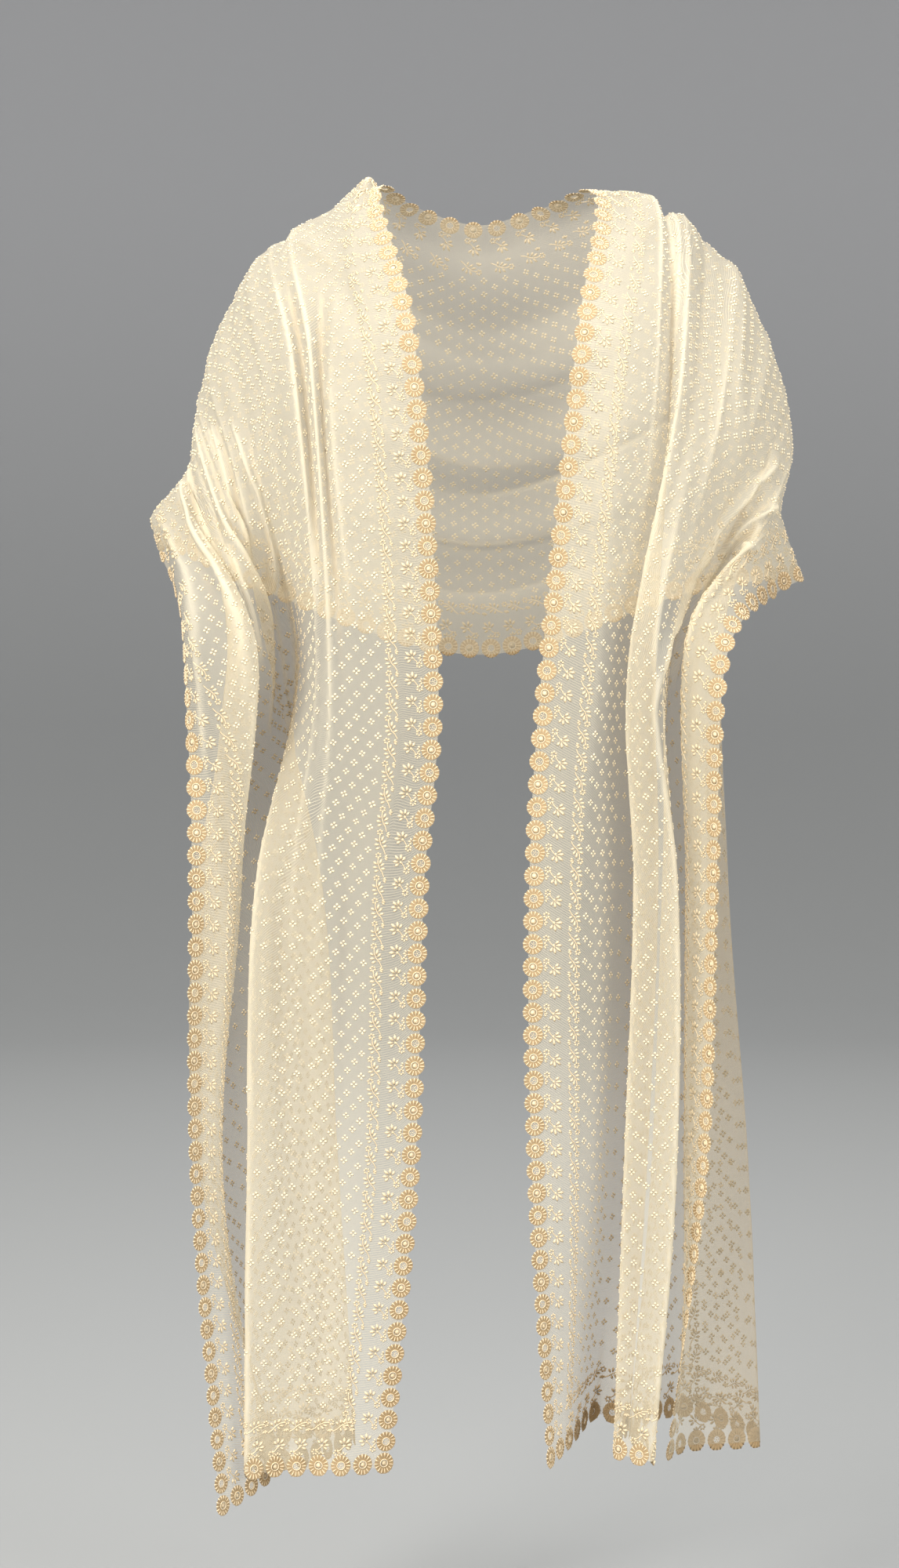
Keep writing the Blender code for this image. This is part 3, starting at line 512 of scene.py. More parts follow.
class Cloth:
    """The worn cloth as a fine grid whose columns are evenly spaced by real length."""

    def __init__(self) -> None:
        """Lays the grid over the drape and measures it."""
        drape = Drape()
        self.along = np.linspace(drape.along[0], drape.along[-1], ROWS)
        self.cuts = tuple(
            drape.along[CENTRE + section] * (1.0 - share) + drape.along[CENTRE + section + 1] * share
            for section, share in ((SHOULDER - 1, UPPER_START), (ELBOW, FALL_START))
        )
        fine = np.linspace(0.0, CUT.width, FINE_COLUMNS)
        points = drape.points(self.along, fine)
        outward = self.outward(points)
        heights, edges = creased(self.along[:, None], fine[None, :])
        points += outward * heights[..., None]
        reach = travelled(points, 1)
        self.lengths = reach[:, -1]
        seam = np.interp(self.along, SEAM_ALONG, SEAM_ACROSS)
        self.seam = np.array([np.interp(place, fine, row) for place, row in zip(seam, reach)]) / self.lengths
        edge = CUT.valley / CUT.width
        self.shares = np.concatenate(([0.0], np.linspace(edge, 1.0 - edge, COLUMNS), [1.0]))
        self.points = np.empty((ROWS, len(self.shares), 3))
        self.edges = np.empty((ROWS, len(self.shares)))
        for row in range(ROWS):
            places = self.shares * self.lengths[row]
            for axis in range(3):
                self.points[row, :, axis] = np.interp(places, reach[row], points[row, :, axis])
            self.edges[row] = np.interp(places, reach[row], edges[row])
        self.normals = self.outward(self.points)
        run = travelled(self.points, 0)
        self.run = run - run[ROWS // 2]
        self.sharpness = self.bend()
        self.painted_trough_shade = self.troughs()

    @staticmethod
    def outward(points: Array) -> Array:
        """Unit normals of a grid of points, on the side away from the body."""
        return unit(np.cross(np.gradient(points, axis=0), np.gradient(points, axis=1)))

    def bend(self) -> Array:
        """How sharply the cloth is folded across itself at each point, from 0, flat, to 1."""
        turn = np.linalg.norm(np.diff(self.normals, axis=1), axis=2)
        step = np.linalg.norm(np.diff(self.points, axis=1), axis=2)
        bend = np.zeros(self.points.shape[:2])
        bend[:, 1:-1] = (turn[:, 1:] + turn[:, :-1]) / np.maximum(step[:, 1:] + step[:, :-1], 1e-6)
        return soft_step(bend, *FOLD_BEND)

    def troughs(self) -> Array:
        """How deep each point lies in a trough between two folds, from 0 to 1."""
        pad = ((0, 0), (TROUGH_REACH, TROUGH_REACH), (0, 0))
        padded = np.pad(self.points, pad, mode="reflect", reflect_type="odd")
        count, span = self.points.shape[1], 2 * TROUGH_REACH + 1
        mean = sum(padded[:, k:k + count] for k in range(span)) / span
        depth = np.einsum("ijk,ijk->ij", mean - self.points, self.normals)
        return soft_step(depth, *TROUGH_DEPTH)

    @staticmethod
    def cells(places: Array, lines: Array) -> tuple[Array, Array]:
        """The grid line before each place, and how far past it the place is, as a share of the cell."""
        position = np.clip(np.interp(places, lines, np.arange(len(lines))), 0, len(lines) - LAST_CELL)
        index = position.astype(int)
        return index, (position - index)[..., None]

    def sample(self, values: Array, along: Array, share: Array) -> Array:
        """Values of a grid, read between its points.

        Args:
            values: one value, or one row of numbers, for each point of the grid.
            along: places along the cloth.
            share: places across it, as a share of its real width there.

        Returns:
            One value for each place.
        """
        i, p = self.cells(along, self.along)
        j, q = self.cells(share, self.shares)
        values = values if values.ndim == 3 else values[..., None]
        return (
            values[i, j] * (1 - p) * (1 - q)
            + values[i + 1, j] * p * (1 - q)
            + values[i, j + 1] * (1 - p) * q
            + values[i + 1, j + 1] * p * q
        )

    def column(self, across: float) -> tuple[Array, Array, Array]:
        """One column of the cloth, at one flat place across it.

        Args:
            across: the flat place.

        Returns:
            The real length along it from the spine, its share across and how far it is on the wrong side of
            the seam line, in metres, at every row: first as counted from the neck edge, then as counted from
            the outer edge.
        """
        runs, shares, strays = [], [], []
        for outer in (False, True):
            share = 1.0 - (CUT.width - across) / self.lengths if outer else across / self.lengths
            strays.append((self.seam - share if outer else share - self.seam) * self.lengths)
            shares.append(np.clip(share, 0.0, 1.0))
            reach = travelled(self.sample(self.points, self.along, shares[-1]), 0)
            runs.append(reach - reach[ROWS // 2])
        return np.array(runs), np.array(shares), np.array(strays)

    def flat_places(self) -> Array:
        """The flat place of each point of the grid, along the cloth and across it."""
        length = self.lengths[:, None]
        inner = self.shares[None, :] * length
        outer = CUT.width - (1.0 - self.shares[None, :]) * length
        across = np.where(self.shares[None, :] < self.seam[:, None], inner, outer)
        return np.stack((self.run, across), axis=-1)

    def stretch_of(self, along: Array, stretch: Stretch) -> Array:
        """Which of some places along the cloth are in a stretch."""
        near, far = self.cuts
        return np.searchsorted((-far, -near, near, far), along, side="right") == list(Stretch).index(stretch)


def painted_fold_shade(points: Array) -> Array:
    """How much shade is painted on each point inside the hanging folds, from 0 to 1."""
    hanging = soft_step(-points[:, 2], *BELOW_ELBOWS)
    inside = soft_step(points[:, 1], *BEHIND_FRONT)
    outside = soft_step(points[:, 1], *OUTER_SIDE)
    return FOLD_SHADE_STRENGTH * hanging * inside * (1.0 - OUTER_RELIEF * outside)


@dataclass
class Layout:
    """Where the copies of one motif lie: on the flat cloth, on the worn cloth, and how each is turned."""

    home: Array
    spot: Array
    turn: Array

    @staticmethod
    def laid(home: Sequence[Any], spot: Sequence[Any], lead: Lead, turn: float = 0.0) -> "Layout":
        """A layout whose copies are all turned and squared alike.

        Args:
            home: the flat places, along the cloth and across it.
            spot: the worn places, along the cloth and as a share across it.
            lead: the direction that the copies are squared to.
            turn: how they are turned, in radians.
        """
        homes = np.stack(np.broadcast_arrays(*home), axis=1)
        spots = np.stack(np.broadcast_arrays(*spot, lead.value), axis=1)
        return Layout(homes, spots, np.full(len(homes), turn))

    def only(self, mask: Array) -> "Layout":
        """The same layout with only the copies that a mask keeps."""
        return Layout(self.home[mask], self.spot[mask], self.turn[mask])

    @staticmethod
    def joined(parts: Sequence["Layout"]) -> "Layout":
        """Several layouts as one."""
        return Layout(*(
            np.concatenate([getattr(part, field) for part in parts]) for field in ("home", "spot", "turn")
        ))


class Motif:
    """One embroidered motif, built flat from raised lobes, rings and stems, with shade painted on its under
    side.
    """

    def __init__(self, name: str) -> None:
        """Starts an empty motif."""
        self.name = name
        self.corners: list[tuple[float, float, float]] = []
        self.faces: list[tuple[int, ...]] = []
        self.under: list[float] = []

    def add(
        self, corners: Sequence[Any], upper: Sequence[Any], lower: Sequence[Any],
        marks: tuple[float, float] = (0.0, 0.4),
    ) -> None:
        """Adds one raised shape.

        Args:
            corners: its points.
            upper: the faces of its raised side.
            lower: the faces of its flat side.
            marks: how much shade is painted on each side.
        """
        first = len(self.corners)
        self.corners += [tuple(corner) for corner in corners]
        for faces, tone in zip((upper, lower), marks):
            self.faces += [tuple(first + k for k in face) for face in faces]
            self.under += [tone] * len(faces)

    def dome(self, rim: Sequence[tuple[float, float]], crest: tuple[float, float], height: float) -> None:
        """Adds a flat outline with a raised crest."""
        count = len(rim)
        corners = [(x, y, LIFT) for x, y in rim] + [(*crest, LIFT + height)]
        upper = [(k, (k + 1) % count, count) for k in range(count)]
        self.add(corners, upper, [tuple(range(count - 1, -1, -1))])

    def whorl(
        self, x: float, y: float, start: float, angles: Sequence[float], length: float, width: float,
        height: float, outline: Sequence[tuple[float, float]] = LEAF,
    ) -> None:
        """Adds petals or leaves, all alike, that point away from one place.

        Args:
            x: where that place is.
            y: where that place is.
            start: how far from it their roots are.
            angles: the ways that they point, in degrees.
            length: from root to tip.
            width: the full width of each.
            height: how far they are raised.
            outline: their shape.
        """
        crest = LOBE_CREST * length
        for angle in angles:
            c, s = on_circle(math.radians(angle), 1.0)
            root_x, root_y = x + start * c, y + start * s
            rim = [
                (root_x + (a * length * c - b * width * s), root_y + (a * length * s + b * width * c))
                for a, b in outline
            ]
            self.dome(rim, (root_x + crest * c, root_y + crest * s), height)

    @staticmethod
    def band(circles: Sequence[tuple[float, float]], count: int) -> tuple[list[Any], list[Any]]:
        """The points of circles about the middle, and the faces between each circle and the next.

        Args:
            circles: the radius of each circle and how high it is.
            count: the number of points on each.

        Returns:
            The points and the faces.
        """
        corners = [
            (*on_circle(2 * math.pi * k / count, radius), LIFT + rise)
            for k in range(count) for radius, rise in circles
        ]
        size = len(circles)
        faces = []
        for k in range(count):
            a, b = size * k, size * ((k + 1) % count)
            faces += [(a + n, a + n + 1, b + n + 1, b + n) for n in range(size - 1)]
        return corners, faces

    def ring(self, inner: float, outer: float, count: int, height: float) -> None:
        """Adds a raised ring about the middle."""
        corners, upper = self.band(((inner, 0.0), ((inner + outer) / 2, height), (outer, 0.0)), count)
        starts = [(3 * k, 3 * ((k + 1) % count)) for k in range(count)]
        self.add(corners, upper, [(a, b, b + 2, a + 2) for a, b in starts])

    def web(self, inner: float, outer: float, count: int) -> None:
        """Adds a flat ring about the middle, under the spokes, painted in the shade of an under side so that
        the gaps between them look shaded.
        """
        corners, upper = self.band(((inner, WEB_LIFT), (outer, WEB_LIFT)), count)
        self.add(corners, upper, [], (1.0, 1.0))

    def disc(self, x: float, y: float, radius: float, count: int, height: float) -> None:
        """Adds a round dome."""
        spokes = [on_circle(2 * math.pi * k / count, radius) for k in range(count)]
        self.dome([(x + dx, y + dy) for dx, dy in spokes], (x, y), height)

    def stem(self, path: Sequence[tuple[float, float]], width: float, height: float) -> None:
        """Adds a raised stem along a path."""
        corners = []
        for k, (x, y) in enumerate(path):
            before, after = path[max(k - 1, 0)], path[min(k + 1, len(path) - 1)]
            way = math.atan2(after[1] - before[1], after[0] - before[0])
            dx, dy = -math.sin(way) * width / 2, math.cos(way) * width / 2
            corners += [(x + dx, y + dy, LIFT), (x, y, LIFT + height), (x - dx, y - dy, LIFT)]
        upper = []
        lower = []
        for k in range(len(path) - 1):
            a, b = 3 * k, 3 * k + 3
            upper += [(a + 1, a, b, b + 1), (a + 2, a + 1, b + 1, b + 2)]
            lower.append((a, a + 2, b + 2, b))
        self.add(corners, upper, lower)

    def build(self) -> bpy.types.Object:
        """The motif as an object, with the shade painted on its under side marked."""
        mesh = bpy.data.meshes.new(self.name)
        mesh.from_pydata(self.corners, [], self.faces)
        mark(mesh, "under", self.under, "FACE")
        mesh.update()
        return linked(self.name, mesh)


def sprig() -> Motif:
    """The four-petalled sprig of the net."""
    motif = Motif("sprig")
    motif.whorl(0.0, 0.0, 0.0005, turns(4), length=0.0031, width=0.0026, height=0.0009, outline=PETAL)
    return motif


def wheel(name: str, closed: bool) -> Motif:
    """One wheel of the scalloped edge, with a closed or an open middle."""
    motif = Motif(name)
    # A flat ring under the spokes, painted in shade, darkens the gaps between them
    motif.web(inner=0.0042, outer=0.0100, count=22)
    motif.whorl(0.0, 0.0, 0.0046, turns(15), length=0.0060, width=0.0019, height=0.0013, outline=SPOKE)
    motif.ring(inner=0.0034, outer=0.0046, count=14, height=0.0011)
    if closed:
        motif.disc(0.0, 0.0, radius=0.0031, count=10, height=0.0005)
        return motif
    motif.disc(0.0, 0.0, radius=0.0008, count=5, height=0.0006)
    for angle in turns(5, 20.0):
        motif.disc(*on_circle(math.radians(angle), 0.0022), radius=0.00075, count=4, height=0.0006)
    return motif


def spray() -> Motif:
    """The leaf, the small round flower and the three-leaved bud inside each wheel."""
    motif = Motif("spray")
    motif.stem(((-0.0055, -0.0060), (-0.0015, -0.0030), (0.0030, 0.0012)), width=0.0010, height=0.0007)
    motif.disc(0.0012, 0.0, radius=0.0015, count=6, height=0.0007)
    for angle, length in ((-32, 0.0058), (8, 0.0072), (48, 0.0084), (88, 0.0072), (128, 0.0058)):
        motif.whorl(0.0012, 0.0, 0.0016, (angle,), length, width=0.0029, height=0.0012)
    motif.whorl(-0.0062, -0.0068, 0.0009, turns(6), length=0.0028, width=0.0023, height=0.0007, outline=PETAL)
    motif.whorl(0.0005, -0.0098, 0.0004, (35, 90, 145), length=0.0040, width=0.0021, height=0.0007)
    return motif


def vine() -> Motif:
    """One length of the leafy vine that runs along the inner side of the border."""
    motif = Motif("vine")
    path = ((-0.0118, -0.0050), (-0.0075, -0.0028), (-0.0040, 0.0004), (0.0010, 0.0030), (0.0060, 0.0036))
    motif.stem(path, width=0.0011, height=0.0008)
    for x, y, angle, length in (
        (-0.0050, -0.0008, -72, 0.0050), (-0.0030, 0.0002, -38, 0.0062), (-0.0012, 0.0012, -12, 0.0070),
        (-0.0062, 0.0004, 118, 0.0052), (-0.0040, 0.0014, 92, 0.0058), (-0.0014, 0.0026, 62, 0.0058),
    ):
        motif.whorl(x, y, 0.0, (angle,), length, width=0.0026, height=0.0009)
    petals = turns(6, 15.0)
    motif.whorl(0.0082, 0.0040, 0.0008, petals, length=0.0026, width=0.0022, height=0.0007, outline=PETAL)
    motif.whorl(0.0070, -0.0022, 0.0004, (-120, -80, -40), length=0.0040, width=0.0021, height=0.0007)
    return motif


class Wire:
    """An output socket that can be used in Python sums; each one adds its Math node."""

    def __init__(self, bench: "Bench", socket: bpy.types.NodeSocket) -> None:
        """Wraps a socket of a bench's tree."""
        self.bench = bench
        self.socket = socket

    def __add__(self, other: Any) -> "Wire":
        """Their sum."""
        return self.bench.math("ADD", self, other)

    def __radd__(self, other: Any) -> "Wire":
        """Their sum."""
        return self.bench.math("ADD", other, self)

    def __sub__(self, other: Any) -> "Wire":
        """Their difference."""
        return self.bench.math("SUBTRACT", self, other)

    def __rsub__(self, other: Any) -> "Wire":
        """Their difference, the other way round."""
        return self.bench.math("SUBTRACT", other, self)

    def __mul__(self, other: Any) -> "Wire":
        """Their product."""
        return self.bench.math("MULTIPLY", self, other)


class Bench:
    """A node tree that is being built, for a finish or for a layout."""

    def __init__(self, tree: bpy.types.NodeTree) -> None:
        """Works on an empty tree."""
        self.tree = tree

    def node(
        self, kind: str, settings: dict[str, Any] | None = None, values: dict[Any, Any] | None = None
    ) -> Any:
        """Adds a node.

        Args:
            kind: the node's type.
            settings: its own settings, which are set first.
            values: the value or the wire of each input, by name or by place.

        Returns:
            The node.
        """
        node = self.tree.nodes.new(kind)
        for key, value in (settings or {}).items():
            setattr(node, key, value)
        for key, value in (values or {}).items():
            if isinstance(value, Wire):
                self.tree.links.new(value.socket, node.inputs[key])
            else:
                node.inputs[key].default_value = value
        return node

    def wire(self, node: Any, output: Any = 0) -> Wire:
        """One output of a node as a wire."""
        return Wire(self, node.outputs[output])

    def math(self, operation: str, first: Any, second: Any = 0.0) -> Wire:
        """A sum on one or two values."""
        return self.wire(self.node("ShaderNodeMath", {"operation": operation}, {0: first, 1: second}))

    def rise(self, value: Wire, low: float, high: float) -> Wire:
        """0 below low, 1 above high and a soft rise between them."""
        limits = {"Value": value, "From Min": low, "From Max": high}
        return self.wire(self.node("ShaderNodeMapRange", {"interpolation_type": "SMOOTHSTEP"}, limits))

    def attribute(self, name: str) -> Wire:
        """A number that the mesh carries."""
        return self.wire(self.node("ShaderNodeAttribute", {"attribute_name": name}), "Fac")

    def noise(self, place: Wire, scale: float, detail: float) -> Wire:
        """A soft random pattern."""
        return self.wire(self.node(
            "ShaderNodeTexNoise", values={"Vector": place, "Scale": scale, "Detail": detail}
        ))

    def random(self, low: Wire, high: Wire, seed: Wire) -> Wire:
        """A random number for each copy."""
        limits = {2: low, 3: high, "Seed": seed}
        return self.wire(self.node("FunctionNodeRandomValue", {"data_type": "FLOAT"}, limits), 1)


class Look:
    """A material that is being mixed for a finish."""

    def __init__(self, finish: Finish) -> None:
        """Starts the material with the finish's roughness."""
        self.finish = finish
        self.material = bpy.data.materials.new(finish.name)
        self.material.use_nodes = True
        self.bench = Bench(self.material.node_tree)
        self.inputs = self.material.node_tree.nodes["Principled BSDF"].inputs
        self.inputs["Roughness"].default_value = finish.roughness
        self.inputs["Metallic"].default_value = 0.0

    def feed(self, title: str, value: Wire) -> None:
        """Joins a wire to one input of the surface."""
        self.bench.tree.links.new(value.socket, self.inputs[title])

    def paint(self, tone: Wire) -> None:
        """Colours the surface, from the finish's own colour at a tone of 0 to its painted shading colour at
        1: shade on the cloth, a lighter tone on the backdrop.
        """
        colours = {0: tone, 6: (*self.finish.colour, 1.0), 7: (*self.finish.painted_shading_colour, 1.0)}
        node = self.bench.node("ShaderNodeMix", {"data_type": "RGBA"}, colours)
        self.feed("Base Color", self.bench.wire(node, 2))


def net_material(finish: Finish) -> bpy.types.Material:
    """Sheer net: three sets of fine threads in a see-through ground, closer together where it is folded."""
    look = Look(finish)
    bench = look.bench
    flat = bench.node("ShaderNodeUVMap", {"uv_map": "flat"})
    split = bench.node("ShaderNodeSeparateXYZ", values={0: bench.wire(flat)})
    along, across = bench.wire(split, 0), bench.wire(split, 1)
    gaps = []
    for turn in NET_WAYS:
        c, s = on_circle(math.radians(turn), math.pi / NET_CELL)
        gaps.append(bench.math("ABSOLUTE", bench.math("SINE", along * c + across * s)))
    nearest = bench.math("MINIMUM", bench.math("MINIMUM", gaps[0], gaps[1]), gaps[2])
    thread = 1.0 - bench.rise(nearest, *NET_THREAD_EDGE)
    alpha = thread * NET_THREAD_ALPHA + (1.0 - thread) * NET_HOLE_ALPHA
    look.feed("Alpha", alpha + (1.0 - alpha) * bench.attribute("folded") * NET_FOLD_ALPHA)
    # Painted shade: the net darkens towards its shade colour inside the hanging folds and in the troughs
    # between pleats
    look.paint(bench.attribute("deep"))
    return look.material


def lace_material(finish: Finish) -> bpy.types.Material:
    """Matt cotton stitching, with shade painted into its colour inside the folds and on its under side, and a
    fine grain of threads.
    """
    look = Look(finish)
    bench = look.bench
    place = bench.wire(bench.node("ShaderNodeTexCoord"), "Object")
    uneven = bench.noise(place, TONE_SCALE, detail=2.0)
    # Painted shade: darker inside the hanging folds and on the motifs' under sides
    tone = bench.math("MINIMUM", bench.attribute("deep") + bench.attribute("under") * UNDER_SHADE, 1.0)
    look.paint(bench.math("MAXIMUM", tone + (uneven - 0.5) * TONE_CHANGE, 0.0))
    grain = bench.noise(place, GRAIN_SCALE, detail=1.0)
    bump = {"Height": grain, "Strength": GRAIN_STRENGTH, "Distance": GRAIN_DEPTH}
    look.feed("Normal", bench.wire(bench.node("ShaderNodeBump", values=bump)))
    return look.material


class Stitcher:
    """Sets copies of a motif out on the flat net with Geometry Nodes."""

    INPUTS = (
        ("Motif", "NodeSocketObject"),
        ("Finish", "NodeSocketMaterial"),
        ("Wobble", "NodeSocketFloat"),
        ("Uneven", "NodeSocketFloat"),
        ("Seed", "NodeSocketInt"),
    )

    def __init__(
        self, motif: Motif, material: bpy.types.Material, wobble: float = 0.0, uneven: float = 0.0,
        seed: int = 1,
    ) -> None:
        """Builds the motif and the tree that repeats it.

        Args:
            motif: the motif.
            material: its finish.
            wobble: how far each copy may be turned at random, in radians.
            uneven: how much its size may differ, as a share.
            seed: the seed of both.
        """
        self.motif = motif.build()
        self.material = material
        self.values = (self.motif, material, wobble, uneven, seed)
        self.tree = self.make_tree(motif.name)

    def make_tree(self, name: str) -> bpy.types.NodeTree:
        """The tree: points in, one turned motif on each, one plain mesh out."""
        tree = bpy.data.node_groups.new(f"set_out_{name}", "GeometryNodeTree")
        for title, kind in (("Geometry", "NodeSocketGeometry"), *self.INPUTS):
            tree.interface.new_socket(title, in_out="INPUT", socket_type=kind)
        tree.interface.new_socket("Geometry", in_out="OUTPUT", socket_type="NodeSocketGeometry")
        bench = Bench(tree)
        source = bench.node("NodeGroupInput")
        wobble, uneven, seed = (bench.wire(source, title) for title in ("Wobble", "Uneven", "Seed"))
        home = bench.node(
            "GeometryNodeStoreNamedAttribute",
            {"data_type": "FLOAT_VECTOR", "domain": "POINT"},
            {"Geometry": bench.wire(source, "Geometry"), "Name": "home",
             "Value": bench.wire(bench.node("GeometryNodeInputPosition"))},
        )
        turn = bench.node("GeometryNodeInputNamedAttribute", {"data_type": "FLOAT"}, {"Name": "turn"})
        angle = bench.wire(turn) + bench.random(wobble * -1.0, wobble, seed)
        size = bench.random(1.0 - uneven, 1.0 + uneven, seed + 1)
        euler = bench.node("ShaderNodeCombineXYZ", values={"Z": angle})
        rotation = bench.node("FunctionNodeEulerToRotation", values={0: bench.wire(euler)})
        shape = bench.node("GeometryNodeObjectInfo", values={"Object": bench.wire(source, "Motif")})
        copies = bench.node(
            "GeometryNodeInstanceOnPoints",
            values={"Points": bench.wire(home), "Instance": bench.wire(shape, "Geometry"),
                    "Rotation": bench.wire(rotation), "Scale": size},
        )
        plain_mesh = bench.node("GeometryNodeRealizeInstances", values={"Geometry": bench.wire(copies)})
        dressed = bench.node(
            "GeometryNodeSetMaterial",
            values={"Geometry": bench.wire(plain_mesh), "Material": bench.wire(source, "Finish")},
        )
        bench.node("NodeGroupOutput", values={"Geometry": bench.wire(dressed)})
        return tree

    def set_out(self, layout: Layout) -> bpy.types.Mesh:
        """Repeats the motif over a layout.

        Args:
            layout: where its copies lie.

        Returns:
            One plain mesh, still flat, that carries each copy's home, spot and turn.
        """
        dots = bpy.data.meshes.new("dots")
        dots.from_pydata([(x, y, 0.0) for x, y in layout.home], [], [])
        dots.attributes.new("spot", "FLOAT_VECTOR", "POINT").data.foreach_set("vector", layout.spot.ravel())
        mark(dots, "turn", layout.turn)
        holder = linked("dots", dots)
        modifier = holder.modifiers.new("set out", "NODES")
        modifier.node_group = self.tree
        inputs = {item.name: item for item in self.tree.interface.items_tree if item.in_out == "INPUT"}
        for (title, _), value in zip(self.INPUTS, self.values):
            modifier[inputs[title].identifier] = value
        graph = bpy.context.evaluated_depsgraph_get()
        flat = bpy.data.meshes.new_from_object(holder.evaluated_get(graph), depsgraph=graph)
        bpy.data.objects.remove(holder, do_unlink=True)
        bpy.data.meshes.remove(dots)
        return flat

    def clear(self) -> None:
        """Takes the motif itself out of the scene."""
        bpy.data.objects.remove(self.motif, do_unlink=True)


def carry(cloth: Cloth, flat: bpy.types.Mesh) -> Array:
    """Carries a flat mesh onto the worn cloth, each copy about its own home so that it keeps its size.

    Args:
        cloth: the worn cloth.
        flat: a mesh whose points have the attributes home and spot.

    Returns:
        Its points on the worn cloth.
    """
    places, home, spot = (np.empty(len(flat.vertices) * 3) for _ in range(3))
    flat.vertices.foreach_get("co", places)
    flat.attributes["home"].data.foreach_get("vector", home)
    flat.attributes["spot"].data.foreach_get("vector", spot)
    offset = (places - home).reshape(-1, 3)
    along, share, lead = spot.reshape(-1, 3).T
    share_step = CARRY_STEP / np.interp(along, cloth.along, cloth.lengths)
    a0 = np.clip(along - CARRY_STEP, cloth.along[0], None)
    a1 = np.clip(along + CARRY_STEP, None, cloth.along[-1])
    s0, s1 = np.clip(share - share_step, 0.0, None), np.clip(share + share_step, None, 1.0)
    points, at = cloth.points, cloth.sample
    run = (at(points, a1, share) - at(points, a0, share)) / (a1 - a0)[:, None]
    reach = (at(points, along, s1) - at(points, along, s0)) / (s1 - s0)[:, None]
    leads = (lead < 0.5)[:, None]
    first = unit(np.where(leads, run, reach))
    other = np.where(leads, reach, run)
    second = unit(other - (other * first).sum(axis=1, keepdims=True) * first)
    one, two = np.where(leads, first, second), np.where(leads, second, first)
    a, b = (run * one).sum(axis=1), (reach * one).sum(axis=1)
    c, d = (run * two).sum(axis=1), (reach * two).sum(axis=1)
    area = a * d - b * c
    area = np.where(np.abs(area) < LEAST_AREA, LEAST_AREA, area)
    new_along = along + (offset[:, 0] * d - offset[:, 1] * b) / area
    new_share = share + (offset[:, 1] * a - offset[:, 0] * c) / area
    return at(points, new_along, new_share) + unit(at(cloth.normals, new_along, new_share)) * offset[:, 2:3]


